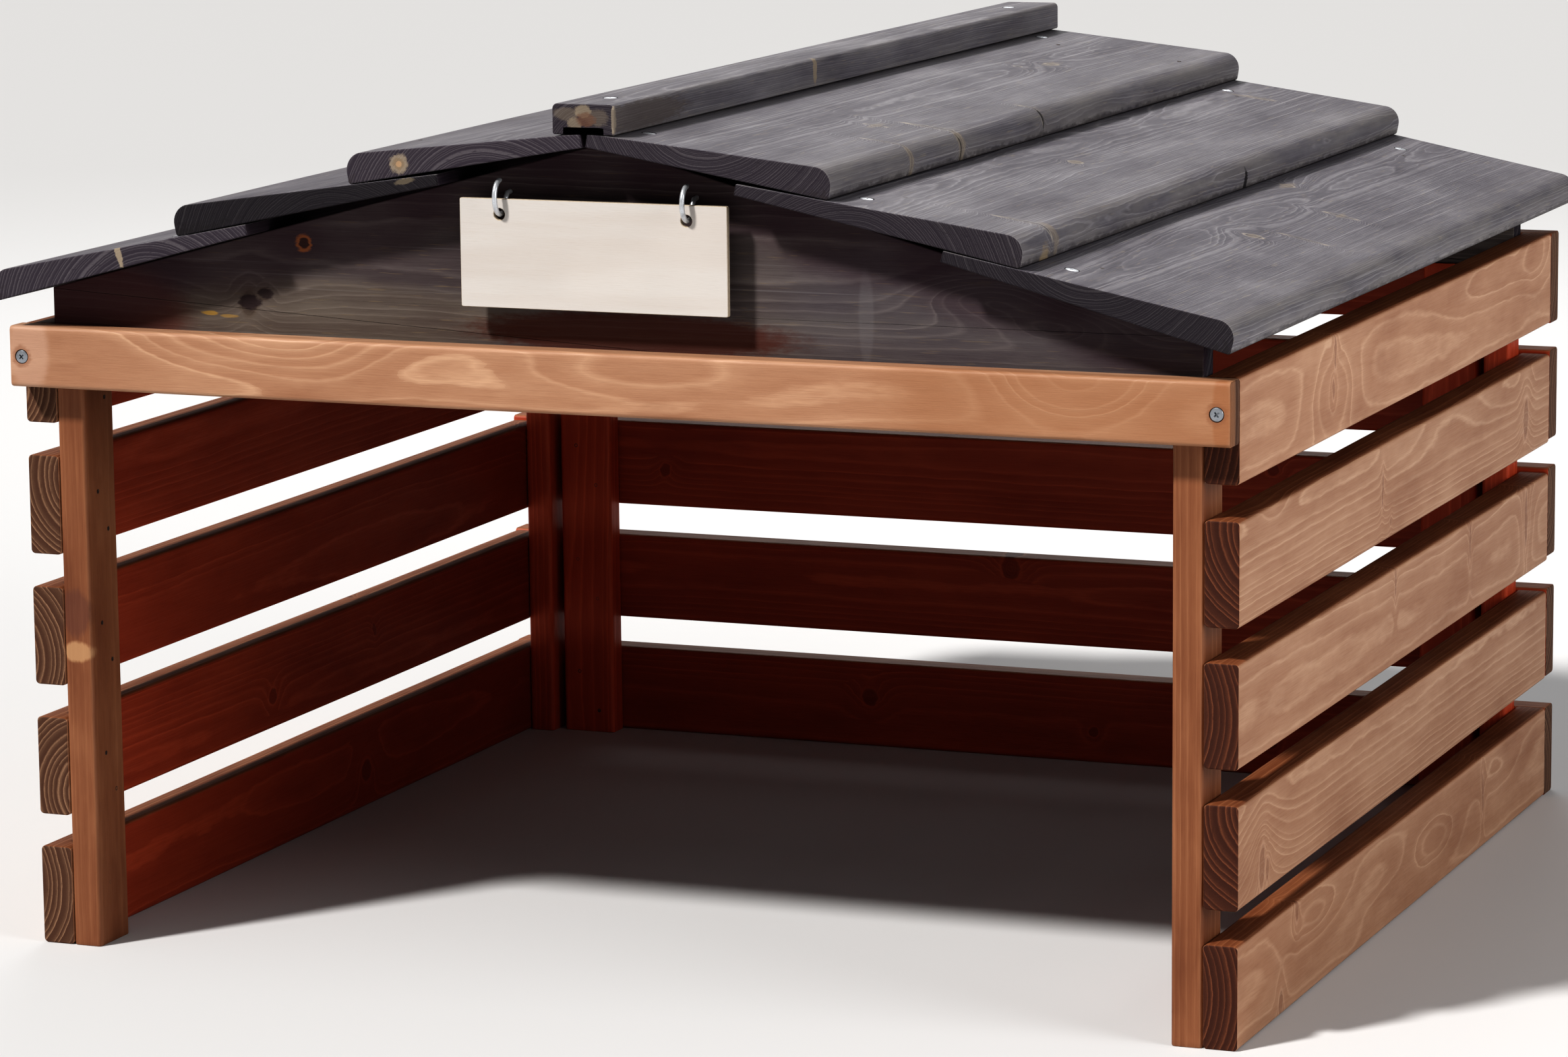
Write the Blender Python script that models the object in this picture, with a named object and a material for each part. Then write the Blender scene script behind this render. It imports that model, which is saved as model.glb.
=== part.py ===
"""Slatted timber shelter, open at the front, with a gable roof of overlapping wedge boards.

Metres, +Z up. The origin is on the ground under the middle of the roof. The open front faces -Y.
"""

import bmesh
import bpy
from math import asin, atan2, cos, pi, radians, sin, tan
from mathutils import Matrix, Vector

# Driving dimensions.
FIT_GAP = 0.0003
SLAT_COUNT = 5
SLAT_HEIGHT = 0.069
SLAT_THICKNESS = 0.0235
SLAT_SPACE = 0.023
BACK_SLAT_LIFT = {1: 0.0, 2: 0.0025, 3: 0.0037, 4: 0.0015, 5: 0.0}
TIMBER_ROUND = 0.003
WALL_WIDTH = 0.870
SIDE_SLAT_LENGTH = 0.800

FRONT_POST_WIDTH = 0.021
FRONT_POST_DEPTH = 0.042
REAR_POST_DEPTH = 0.0285
POST_HEIGHT = 0.414
BACK_BATTEN_WIDTH = 0.044
BACK_BATTEN_THICKNESS = 0.020
BACK_BATTEN_OUTER_X = 0.384

RAIL_HEIGHT = 0.042
RAIL_THICKNESS = 0.020

ROOF_LENGTH = 0.880
ROOF_FRONT_OVERHANG = 0.030
ROOF_PITCH = radians(15.0)
GABLE_APEX_HEIGHT = 0.5725
GABLE_THICKNESS = 0.020
RAFTER_THICKNESS = 0.020
RAFTER_WIDTH = 0.042
RAFTER_END_X = 0.404
BOARD_WIDTH = 0.199
BOARD_THICK_EDGE = 0.0205
BOARD_THIN_EDGE = 0.0075
BOARD_NOSE_ROUND = 0.012
BOARD_UNDER_ROUND = 0.002
BOARD_INNER_X = {1: 0.0009, 2: 0.1042, 3: 0.2454}
TOP_BOARD_WIDTH = 0.1717

RIDGE_WIDTH = 0.044
RIDGE_HEIGHT = 0.0202
RIDGE_GROOVE_WIDTH = 0.027
RIDGE_GROOVE_DEPTH = 0.004

SIGN_WIDTH = 0.190
SIGN_HEIGHT = 0.072
SIGN_THICKNESS = 0.004
SIGN_HOLE_RADIUS = 0.004
SIGN_HOLE_BELOW_TOP = 0.0102
HOOK_X = 0.0665
HOOK_WIRE_RADIUS = 0.0017
HOOK_RING_HALF_HEIGHT = 0.0112
HOOK_RING_HALF_DEPTH = 0.0090
HOOK_RING_FROM_GABLE = 0.0160
HOOK_RING_HEIGHT = 0.5367
HOOK_SHANK_ABOVE_RING = 0.0020
HOOK_SHANK_IN_GABLE = 0.014

SCREW_HEAD_RADIUS = 0.0045
SCREW_HEAD_HEIGHT = 0.0028
SCREW_SHANK_RADIUS = 0.0021
SCREW_POINT_LENGTH = 0.005
SCREW_SINK = 0.0003
ROOF_SCREW_LENGTH = 0.040
RAIL_SCREW_LENGTH = 0.045
RIDGE_SCREW_LENGTH = 0.050
RAIL_SCREW_X = 0.426
# Where each roof board is screwed to a gable: distance from the ridge line, and from the slats' front ends.
ROOF_SCREW_X = {1: 0.029, 2: 0.182, 3: 0.3195}
ROOF_SCREW_FRONT = {1: 0.0105, 2: 0.007, 3: 0.0125}
ROOF_SCREW_REAR = {1: 0.791, 2: 0.785, 3: 0.788}
RIDGE_SCREW_FRONT = 0.0145
RIDGE_SCREW_REAR = 0.7955

# Worked out from the dimensions above.
SLAT_PITCH = SLAT_HEIGHT + SLAT_SPACE
WALL_HEIGHT = SLAT_COUNT * SLAT_HEIGHT + (SLAT_COUNT - 1) * SLAT_SPACE
ROOF_FRONT = -ROOF_LENGTH / 2
WALL_FRONT = ROOF_FRONT + ROOF_FRONT_OVERHANG
WALL_REAR = WALL_FRONT + SIDE_SLAT_LENGTH
SLAT_INNER_X = WALL_WIDTH / 2 - SLAT_THICKNESS
BOARD_TAPER = atan2(BOARD_THICK_EDGE - BOARD_THIN_EDGE, BOARD_WIDTH)


def clear_scene():
    for old in list(bpy.data.objects):
        bpy.data.objects.remove(old, do_unlink=True)


def material(name, colour, roughness, metallic=0.0):
    made = bpy.data.materials.new(name)
    made.use_nodes = True
    shader = made.node_tree.nodes["Principled BSDF"]
    shader.inputs["Base Color"].default_value = (*colour, 1.0)
    shader.inputs["Roughness"].default_value = roughness
    shader.inputs["Metallic"].default_value = metallic
    return made


def rounded_outline(corners, steps=3):
    """Points of a convex outline given anticlockwise as (x, y, corner radius)."""
    points = []
    for index, (x, y, radius) in enumerate(corners):
        here = Vector((x, y))
        if radius == 0:
            points.append(here)
            continue
        before = Vector(corners[index - 1][:2]) - here
        after = Vector(corners[(index + 1) % len(corners)][:2]) - here
        before.normalize()
        after.normalize()
        half_angle = before.angle(after) / 2
        centre = here + (before + after).normalized() * radius / sin(half_angle)
        start = here + before * radius / tan(half_angle) - centre
        sweep = pi - 2 * half_angle
        for step in range(steps + 1):
            turn = Matrix.Rotation(sweep * step / steps, 2)
            points.append(centre + turn @ start)
    return points


def rectangle(width, height, radius):
    """A rounded rectangle round the origin."""
    half_width = width / 2
    half_height = height / 2
    signs = ((-1, -1), (1, -1), (1, 1), (-1, 1))
    return rounded_outline([(a * half_width, b * half_height, radius) for a, b in signs])


def finish_object(name, mesh_builder, paint):
    mesh = bpy.data.meshes.new(name)
    bmesh.ops.recalc_face_normals(mesh_builder, faces=mesh_builder.faces[:])
    mesh_builder.to_mesh(mesh)
    mesh_builder.free()
    mesh.materials.append(paint)
    made = bpy.data.objects.new(name, mesh)
    bpy.context.scene.collection.objects.link(made)
    mesh.shade_smooth()
    mesh.set_sharp_from_angle(angle=radians(40))
    return made


def prism(name, outline, length, paint):
    """Extrudes an outline in the local X-Z plane along local +Y, from 0 to length."""
    builder = bmesh.new()
    front = [builder.verts.new((x, 0.0, z)) for x, z in outline]
    face = builder.faces.new(front)
    extruded = bmesh.ops.extrude_face_region(builder, geom=[face])
    moved = [item for item in extruded["geom"] if isinstance(item, bmesh.types.BMVert)]
    bmesh.ops.translate(builder, verts=moved, vec=(0.0, length, 0.0))
    return finish_object(name, builder, paint)


def lathe(name, profile, paint, segments=12):
    """Turns (radius, height) points round local Z; the first and last lie on the axis."""
    builder = bmesh.new()
    verts = [builder.verts.new((radius, 0.0, height)) for radius, height in profile]
    edges = [builder.edges.new(pair) for pair in zip(verts, verts[1:])]
    bmesh.ops.spin(
        builder,
        geom=verts + edges,
        cent=(0, 0, 0),
        axis=(0, 0, 1),
        angle=2 * pi,
        steps=segments,
        use_merge=True,
    )
    bmesh.ops.remove_doubles(builder, verts=builder.verts[:], dist=1e-6)
    return finish_object(name, builder, paint)


def cut(target, cutter):
    """Takes the cutter away from the target, and hides the cutter."""
    modifier = target.modifiers.new(cutter.name, "BOOLEAN")
    modifier.operation = "DIFFERENCE"
    modifier.solver = "EXACT"
    modifier.object = cutter
    cutter.hide_render = True
    cutter.display_type = "WIRE"


def slat_bottom(number):
    """Height of the underside of a slat, where slat 1 is the top one."""
    return (SLAT_COUNT - number) * SLAT_PITCH


def side_slats(paint):
    outline = rectangle(SLAT_THICKNESS, SLAT_HEIGHT, TIMBER_ROUND)
    slats = {}
    for side, sign in (("left", -1), ("right", 1)):
        for number in range(1, SLAT_COUNT + 1):
            slat = prism(f"{side}_slat_{number}", outline, SIDE_SLAT_LENGTH, paint)
            x = sign * (WALL_WIDTH - SLAT_THICKNESS) / 2
            slat.location = (x, WALL_FRONT, slat_bottom(number) + SLAT_HEIGHT / 2)
            slats[side, number] = slat
    return slats


def back_slats(paint):
    outline = rectangle(SLAT_THICKNESS, SLAT_HEIGHT, TIMBER_ROUND)
    for number in range(1, SLAT_COUNT + 1):
        slat = prism(f"back_slat_{number}", outline, WALL_WIDTH, paint)
        slat.rotation_euler = (0, 0, -pi / 2)
        y = WALL_REAR + FIT_GAP + SLAT_THICKNESS / 2
        z = slat_bottom(number) + BACK_SLAT_LIFT[number] + SLAT_HEIGHT / 2
        slat.location = (-WALL_WIDTH / 2, y, z)


def upright(name, width, depth, centre_x, front_y, paint):
    """A vertical batten standing on the ground. Its outline's local Z becomes world Y."""
    outline = rectangle(width, depth, TIMBER_ROUND)
    made = prism(name, outline, POST_HEIGHT, paint)
    made.rotation_euler = (pi / 2, 0, 0)
    made.location = (centre_x, front_y + depth / 2, 0)
    return made


def posts(paint):
    post_x = SLAT_INNER_X - FIT_GAP - FRONT_POST_WIDTH / 2
    batten_x = BACK_BATTEN_OUTER_X - BACK_BATTEN_WIDTH / 2
    rear_y = WALL_REAR - REAR_POST_DEPTH
    batten_y = WALL_REAR - BACK_BATTEN_THICKNESS
    for side, sign in (("left", -1), ("right", 1)):
        upright(f"front_{side}_post", FRONT_POST_WIDTH, FRONT_POST_DEPTH, sign * post_x, WALL_FRONT, paint)
        upright(f"rear_{side}_post", FRONT_POST_WIDTH, REAR_POST_DEPTH, sign * post_x, rear_y, paint)
        upright(
            f"back_{side}_batten",
            BACK_BATTEN_WIDTH,
            BACK_BATTEN_THICKNESS,
            sign * batten_x,
            batten_y,
            paint,
        )


def front_rail(paint):
    rail = prism("front_rail", rectangle(RAIL_THICKNESS, RAIL_HEIGHT, TIMBER_ROUND), WALL_WIDTH, paint)
    rail.rotation_euler = (0, 0, -pi / 2)
    y = WALL_FRONT - FIT_GAP - RAIL_THICKNESS / 2
    rail.location = (-WALL_WIDTH / 2, y, WALL_HEIGHT - RAIL_HEIGHT / 2)
    return rail


def gable_top(x):
    """Height of the gable's sloping edge."""
    return GABLE_APEX_HEIGHT - abs(x) * tan(ROOF_PITCH)


def gable(name, front_y, paint):
    foot = POST_HEIGHT + FIT_GAP
    half_width = SLAT_INNER_X - FIT_GAP
    outline = [
        (-half_width, foot),
        (half_width, foot),
        (half_width, gable_top(half_width) - FIT_GAP),
        (0, GABLE_APEX_HEIGHT - FIT_GAP),
        (-half_width, gable_top(half_width) - FIT_GAP),
    ]
    made = prism(name, outline, GABLE_THICKNESS, paint)
    made.location = (0, front_y, 0)
    return made


def rafters(paint):
    """Battens behind the gables, to which the boards are nailed."""
    drop = RAFTER_THICKNESS / cos(ROOF_PITCH)
    inner = 0.0008
    starts = {
        "front": WALL_FRONT + GABLE_THICKNESS + FIT_GAP,
        "rear": WALL_REAR - GABLE_THICKNESS - FIT_GAP - RAFTER_WIDTH,
    }
    for end, start_y in starts.items():
        for side, sign in (("left", -1), ("right", 1)):
            outline = [
                (sign * inner, gable_top(inner) - FIT_GAP - drop),
                (sign * RAFTER_END_X, gable_top(RAFTER_END_X) - FIT_GAP - drop),
                (sign * RAFTER_END_X, gable_top(RAFTER_END_X) - FIT_GAP),
                (sign * inner, gable_top(inner) - FIT_GAP),
            ]
            rafter = prism(f"{end}_{side}_rafter", outline, RAFTER_WIDTH, paint)
            rafter.location = (0, start_y, 0)


def thickness_at(from_nose):
    return BOARD_THICK_EDGE - from_nose * tan(BOARD_TAPER)


def board_angles():
    """Slope of each board's underside. Board 3 lies on the gable, and each board above it rests with
    its inner edge on the gable and with its lower edge on the board below."""
    angles = {3: ROOF_PITCH}
    for number in (2, 1):
        width = BOARD_WIDTH if number == 2 else TOP_BOARD_WIDTH
        below = angles[number + 1]
        top_slope = below - BOARD_TAPER
        below_x = BOARD_INNER_X[number + 1]
        edge = Vector((sin(below), cos(below))) * thickness_at(BOARD_WIDTH)
        below_top = Vector((below_x, gable_top(below_x))) + edge
        here = Vector((BOARD_INNER_X[number], gable_top(BOARD_INNER_X[number])))
        normal = Vector((sin(top_slope), cos(top_slope)))
        height = (here - below_top).dot(normal)
        angles[number] = top_slope - asin((FIT_GAP - height) / width)
    return angles


def board_outline(width):
    """A wedge with its thin edge at the origin, its underside along +X, and a rounded thick edge."""
    thin = thickness_at(width)
    return rounded_outline(
        [
            (0, 0, 0),
            (width, 0, BOARD_UNDER_ROUND),
            (width, BOARD_THICK_EDGE, BOARD_NOSE_ROUND),
            (0, thin, 0),
        ],
        steps=5,
    )


def roof_boards(paint):
    boards = {}
    for number, angle in board_angles().items():
        width = TOP_BOARD_WIDTH if number == 1 else BOARD_WIDTH
        for side, sign in (("left", -1), ("right", 1)):
            outline = [(sign * x, z) for x, z in board_outline(width)]
            board = prism(f"roof_{side}_board_{number}", outline, ROOF_LENGTH, paint)
            board.rotation_euler = (0, sign * angle, 0)
            inner_x = BOARD_INNER_X[number]
            board.location = (sign * inner_x, ROOF_FRONT, gable_top(inner_x))
            boards[side, number] = board
    return boards


def board_top_height(number, x):
    """Height of a board's upper face at a distance from the ridge line."""
    angle = board_angles()[number]
    width = TOP_BOARD_WIDTH if number == 1 else BOARD_WIDTH
    inner_x = BOARD_INNER_X[number]
    edge = thickness_at(width)
    start_x = inner_x + edge * sin(angle)
    start_z = gable_top(inner_x) + edge * cos(angle)
    return start_z - (x - start_x) * tan(angle - BOARD_TAPER)


def ridge_underside():
    """The ridge batten rests on the boards along the edges of its groove."""
    return board_top_height(1, RIDGE_GROOVE_WIDTH / 2) + FIT_GAP


def ridge_batten(paint):
    half = RIDGE_WIDTH / 2
    groove = RIDGE_GROOVE_WIDTH / 2
    upper = rounded_outline(
        [
            (-half, 0, TIMBER_ROUND * 0.6),
            (half, 0, TIMBER_ROUND * 0.6),
            (half, RIDGE_HEIGHT, TIMBER_ROUND),
            (-half, RIDGE_HEIGHT, TIMBER_ROUND),
        ]
    )
    corner_points = 4
    notch = [
        Vector((-groove, 0)),
        Vector((-groove, RIDGE_GROOVE_DEPTH)),
        Vector((groove, RIDGE_GROOVE_DEPTH)),
        Vector((groove, 0)),
    ]
    outline = upper[:corner_points] + notch + upper[corner_points:]
    batten = prism("ridge_batten", outline, ROOF_LENGTH, paint)
    batten.location = (0, ROOF_FRONT, ridge_underside())
    return batten


def hook_route():
    """Wire centre line in the Y-Z plane: from inside the gable, down, round the front and up to the tip.

    The ring is a little taller than it is deep.
    """
    ring_y = WALL_FRONT - HOOK_RING_FROM_GABLE
    shank_height = HOOK_RING_HEIGHT + HOOK_SHANK_ABOVE_RING
    route = [
        (WALL_FRONT + HOOK_SHANK_IN_GABLE, shank_height),
        (WALL_FRONT, shank_height),
        (WALL_FRONT - 0.0045, shank_height - 0.0004),
    ]
    turns = 14
    for step in range(turns + 1):
        angle = radians(-8) - radians(270) * step / turns
        forward = HOOK_RING_HALF_DEPTH * cos(angle)
        up = HOOK_RING_HALF_HEIGHT * sin(angle)
        route.append((ring_y + forward, HOOK_RING_HEIGHT + up))
    return route


def wire(name, x, route, radius, paint):
    curve = bpy.data.curves.new(name, "CURVE")
    curve.dimensions = "3D"
    curve.bevel_depth = radius
    curve.bevel_resolution = 2
    curve.use_fill_caps = True
    spline = curve.splines.new("POLY")
    spline.points.add(len(route) - 1)
    for point, (y, z) in zip(spline.points, route):
        point.co = (x, y, z, 1)
    curve.materials.append(paint)
    made = bpy.data.objects.new(name, curve)
    bpy.context.scene.collection.objects.link(made)
    return made


def peg(name, radius, length, place, direction, paint):
    """A round cutter that starts a little before its place and runs along a direction."""
    start = 0.002
    made = lathe(name, [(0, start), (radius, start), (radius, -length), (0, -length)], paint)
    made.matrix_world = Matrix.Translation(place) @ aim(direction)
    return made


def aim(direction):
    """Turns local -Z, the way a screw is driven, to a direction."""
    return (-Vector(direction)).to_track_quat("Z", "Y").to_matrix().to_4x4()


def hooks(front, paint):
    route = hook_route()
    for side, sign in (("left", -1), ("right", 1)):
        wire(f"{side}_hook", sign * HOOK_X, route, HOOK_WIRE_RADIUS, paint)
        place = (sign * HOOK_X, WALL_FRONT, HOOK_RING_HEIGHT + HOOK_SHANK_ABOVE_RING)
        depth = HOOK_SHANK_IN_GABLE + FIT_GAP
        radius = HOOK_WIRE_RADIUS + FIT_GAP
        cut(front, peg(f"{side}_hook_hole", radius, depth, place, (0, 1, 0), paint))


def sign_plate(paint):
    """Hangs in the bottom of the two hooks. Its origin is on the line that it swings about."""
    pivot_y = WALL_FRONT - HOOK_RING_FROM_GABLE
    pivot_z = HOOK_RING_HEIGHT - HOOK_RING_HALF_HEIGHT
    outline = rectangle(SIGN_WIDTH, SIGN_HEIGHT, 0.001)
    drop = SIGN_HEIGHT / 2 - SIGN_HOLE_BELOW_TOP
    outline = [(x, z - drop) for x, z in outline]
    plate = prism("sign_plate", outline, SIGN_THICKNESS, paint)
    plate.data.transform(Matrix.Translation((0, -SIGN_THICKNESS / 2, 0)))
    plate.location = (0, pivot_y, pivot_z)
    for side, sign in (("left", -1), ("right", 1)):
        place = (sign * HOOK_X, pivot_y - SIGN_THICKNESS, pivot_z)
        cut(plate, peg(f"{side}_sign_hole", SIGN_HOLE_RADIUS, 3 * SIGN_THICKNESS, place, (0, 1, 0), paint))


def screw_profile(length, grow=0.0):
    return [
        (0, grow),
        (SCREW_HEAD_RADIUS + grow, grow),
        (SCREW_HEAD_RADIUS + grow, -0.0004),
        (SCREW_SHANK_RADIUS + grow, -SCREW_HEAD_HEIGHT),
        (SCREW_SHANK_RADIUS + grow, SCREW_POINT_LENGTH - length - grow),
        (0, -length - grow),
    ]


def screw(name, length, place, direction, pieces, paint):
    """A countersunk screw driven flush at a place, and its hole in each piece that it passes through."""
    inward = Vector(direction).normalized()
    place = Vector(place) + inward * SCREW_SINK
    turned = Matrix.Translation(place) @ aim(inward)
    made = lathe(name, screw_profile(length), paint)
    made.matrix_world = turned
    mouth = screw_profile(length, FIT_GAP)
    mouth[0] = (0, 0.003)
    mouth[1] = (SCREW_HEAD_RADIUS + FIT_GAP, 0.003)
    hole = lathe(f"{name}_hole", mouth, paint)
    hole.matrix_world = turned
    for piece in pieces:
        cut(piece, hole)


def roof_screws(boards, gables, paint):
    angles = board_angles()
    for (side, number), board in boards.items():
        sign = -1 if side == "left" else 1
        x = ROOF_SCREW_X[number]
        slope = angles[number] - BOARD_TAPER
        inward = (-sign * sin(slope), 0, -cos(slope))
        for end, from_front in (("front", ROOF_SCREW_FRONT), ("rear", ROOF_SCREW_REAR)):
            place = (sign * x, WALL_FRONT + from_front[number], board_top_height(number, x))
            pieces = (board, gables[end])
            screw(f"roof_{side}_{end}_screw_{number}", ROOF_SCREW_LENGTH, place, inward, pieces, paint)


def ridge_screws(batten, boards, gables, paint):
    top = ridge_underside() + RIDGE_HEIGHT
    for end, from_front in (("front", RIDGE_SCREW_FRONT), ("rear", RIDGE_SCREW_REAR)):
        pieces = (batten, boards["left", 1], boards["right", 1], gables[end])
        place = (0, WALL_FRONT + from_front, top)
        screw(f"ridge_{end}_screw", RIDGE_SCREW_LENGTH, place, (0, 0, -1), pieces, paint)


def rail_screws(rail, slats, paint):
    front = WALL_FRONT - FIT_GAP - RAIL_THICKNESS
    for side, sign in (("left", -1), ("right", 1)):
        place = (sign * RAIL_SCREW_X, front, WALL_HEIGHT - RAIL_HEIGHT / 2)
        pieces = (rail, slats[side, 1])
        screw(f"rail_{side}_screw", RAIL_SCREW_LENGTH, place, (0, 1, 0), pieces, paint)


def build():
    clear_scene()
    terracotta = material("terracotta_stain", (0.37, 0.21, 0.13), 0.55)
    anthracite = material("anthracite_stain", (0.15, 0.14, 0.155), 0.6)
    birch = material("birch_plywood", (0.56, 0.48, 0.43), 0.6)
    zinc = material("zinc_plated_steel", (0.44, 0.46, 0.49), 0.3, 1.0)

    slats = side_slats(terracotta)
    back_slats(terracotta)
    posts(terracotta)
    rail = front_rail(terracotta)
    gables = {
        "front": gable("front_gable", WALL_FRONT, anthracite),
        "rear": gable("rear_gable", WALL_REAR - GABLE_THICKNESS, anthracite),
    }
    rafters(anthracite)
    boards = roof_boards(anthracite)
    batten = ridge_batten(anthracite)
    hooks(gables["front"], zinc)
    sign_plate(birch)
    roof_screws(boards, gables, zinc)
    ridge_screws(batten, boards, gables, zinc)
    rail_screws(rail, slats, zinc)


build()
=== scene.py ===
"""Looks of the slatted timber shelter: stained softwood with growth rings and knots, zinc screws and hooks,
and a birch plywood plate. Metres, +Z up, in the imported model's frame. The open front faces -Y."""

import random
from math import asin, atan2, cos, floor, pi, radians, sin, sqrt, tan

import bmesh
import bpy
from mathutils import Matrix, Vector, noise


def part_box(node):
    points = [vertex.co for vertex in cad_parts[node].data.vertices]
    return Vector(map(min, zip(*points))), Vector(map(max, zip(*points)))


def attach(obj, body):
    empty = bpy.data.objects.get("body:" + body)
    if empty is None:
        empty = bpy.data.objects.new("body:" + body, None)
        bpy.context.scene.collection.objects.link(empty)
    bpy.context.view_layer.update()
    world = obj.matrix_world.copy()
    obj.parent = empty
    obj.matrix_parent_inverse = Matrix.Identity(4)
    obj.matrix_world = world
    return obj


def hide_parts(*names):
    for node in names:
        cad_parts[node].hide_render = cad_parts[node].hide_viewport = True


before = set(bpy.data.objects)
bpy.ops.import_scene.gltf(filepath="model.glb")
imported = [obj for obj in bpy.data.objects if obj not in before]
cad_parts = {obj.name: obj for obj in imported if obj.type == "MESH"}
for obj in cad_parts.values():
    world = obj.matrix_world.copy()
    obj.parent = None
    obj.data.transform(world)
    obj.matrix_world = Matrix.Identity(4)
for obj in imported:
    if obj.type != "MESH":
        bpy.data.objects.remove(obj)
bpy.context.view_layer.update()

# Roof dimensions, as in the CAD model.
ROOF_LENGTH = 0.880
ROOF_FRONT = -ROOF_LENGTH / 2
WALL_FRONT = -0.410
WALL_REAR = 0.390
ROOF_PITCH = radians(15.0)
GABLE_APEX_HEIGHT = 0.5725
BOARD_WIDTH = 0.199
TOP_BOARD_WIDTH = 0.1717
BOARD_THICK_EDGE = 0.0205
BOARD_THIN_EDGE = 0.0075
BOARD_TAPER = atan2(BOARD_THICK_EDGE - BOARD_THIN_EDGE, BOARD_WIDTH)
BOARD_INNER_X = {1: 0.0009, 2: 0.1042, 3: 0.2454}
BOARD_NOSE_ROUND = 0.012
RAFTER_THICKNESS = 0.020
RAFTER_WIDTH = 0.042
RIDGE_GROOVE_WIDTH = 0.027
RIDGE_GROOVE_DEPTH = 0.004
FIT_GAP = 0.0003
TIMBER_ROUND = 0.003

# The hooks and the plate.
HOOK_X = 0.0665
HOOK_WIRE_RADIUS = 0.0017
HOOK_RING_HALF_HEIGHT = 0.0112
HOOK_RING_HALF_DEPTH = 0.0090
HOOK_RING_Y = WALL_FRONT - 0.0160
HOOK_RING_Z = 0.5367
HOOK_SHANK_ABOVE_RING = 0.0020
HOOK_START = radians(-8)
HOOK_SWEEP = radians(270)
HOOK_STEPS = 48
SIGN_HOLE_RADIUS = 0.004
SIGN_HOLE_STEPS = 40
SIGN_CORNER_RADIUS = 0.0012
SIGN_EASED = 0.0003

SCREW_HEAD_RADIUS = 0.0045
SCREW_SINK = 0.0001
BRAD_RADIUS = 0.0011

# How the outlines are meshed.
ROUND_STEPS = 6
SUPPORT = 0.0022
STRIP_WIDTH = 0.030
STATION_STEP = 0.040
END_ROUND = 0.0009


# ---------------------------------------------------------------- outlines


def arc(before, here, after, radius, steps):
    """Points that round one corner of an outline."""
    here = Vector(here)
    if radius == 0:
        return [here]
    to_before = (Vector(before) - here).normalized()
    to_after = (Vector(after) - here).normalized()
    half_angle = to_before.angle(to_after) / 2
    centre = here + (to_before + to_after).normalized() * radius / sin(half_angle)
    start = here + to_before * radius / tan(half_angle) - centre
    turn = -1 if to_before.cross(to_after) > 0 else 1
    sweep = turn * (pi - 2 * half_angle)
    return [centre + Matrix.Rotation(sweep * step / steps, 2) @ start for step in range(steps + 1)]


def outline(corners, steps=ROUND_STEPS):
    """A closed outline of (x, z, radius) corners, with points close to each one and even strips between."""
    count = len(corners)
    arcs = []
    for index, (x, z, radius) in enumerate(corners):
        before = corners[index - 1][:2]
        after = corners[(index + 1) % count][:2]
        arcs.append(arc(before, (x, z), after, radius, steps))
    points = []
    for index, part in enumerate(arcs):
        points += part
        start = part[-1]
        end = arcs[(index + 1) % count][0]
        run = (end - start).length
        if run < 4 * SUPPORT:
            continue
        along = (end - start).normalized()
        inner = run - 2 * SUPPORT
        strips = max(1, floor(inner / STRIP_WIDTH))
        points += [start + along * (SUPPORT + inner * step / strips) for step in range(strips + 1)]
    return points


# The corners of a square, anticlockwise.
SQUARE = ((-1, -1), (1, -1), (1, 1), (-1, 1))


def rectangle(width, thickness, radius):
    """Corners of a rectangle round the origin, anticlockwise."""
    return [(a * width / 2, b * thickness / 2, radius) for a, b in SQUARE]


def shrunk(points, distance):
    """The outline moved inwards."""
    made = []
    for index, here in enumerate(points):
        before = points[index - 1]
        after = points[(index + 1) % len(points)]
        along = (here - before).normalized() + (after - here).normalized()
        normal = Vector((-along.y, along.x)).normalized()
        made.append(here + normal * distance)
    return made


# ---------------------------------------------------------------- meshes


def stations(length):
    """(distance, how far the outline shrinks) along a timber, with eased ends."""
    eased = [(0.0, END_ROUND), (0.3 * END_ROUND, 0.3 * END_ROUND), (END_ROUND, 0.0)]
    count = max(1, round((length - 4 * SUPPORT) / STATION_STEP))
    middle = [(2 * SUPPORT + (length - 4 * SUPPORT) * step / count, 0.0) for step in range(count + 1)]
    return eased + middle + [(length - along, inset) for along, inset in reversed(eased)]


def extruded(points, length):
    """A bmesh of the outline in local X-Z, carried along local +Y."""
    builder = bmesh.new()
    rings = []
    for along, inset in stations(length):
        section = shrunk(points, inset) if inset else points
        rings.append([builder.verts.new((p.x, along, p.y)) for p in section])
    for first, second in zip(rings, rings[1:]):
        for index in range(len(first)):
            following = (index + 1) % len(first)
            builder.faces.new((first[index], first[following], second[following], second[index]))
    builder.faces.new(list(reversed(rings[0])))
    builder.faces.new(rings[-1])
    bmesh.ops.recalc_face_normals(builder, faces=builder.faces[:])
    return builder


def linked(name, data):
    """An object for the data, linked to the scene."""
    made = bpy.data.objects.new(name, data)
    bpy.context.scene.collection.objects.link(made)
    return made


def new_object(name, builder, materials):
    mesh = bpy.data.meshes.new(name)
    builder.to_mesh(mesh)
    builder.free()
    for material in materials:
        mesh.materials.append(material)
    return linked(name, mesh)


def smooth(mesh, angle=38):
    mesh.shade_smooth()
    mesh.set_sharp_from_angle(angle=radians(angle))


def flatten_ends(mesh, axis):
    """Keeps the shading of a timber's rounded arrises off its flat ends."""
    keys = set()
    for polygon in mesh.polygons:
        if abs(polygon.normal.dot(axis)) > 0.99:
            keys.update(polygon.edge_keys)
    for edge in mesh.edges:
        if edge.key in keys:
            edge.use_edge_sharp = True


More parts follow.
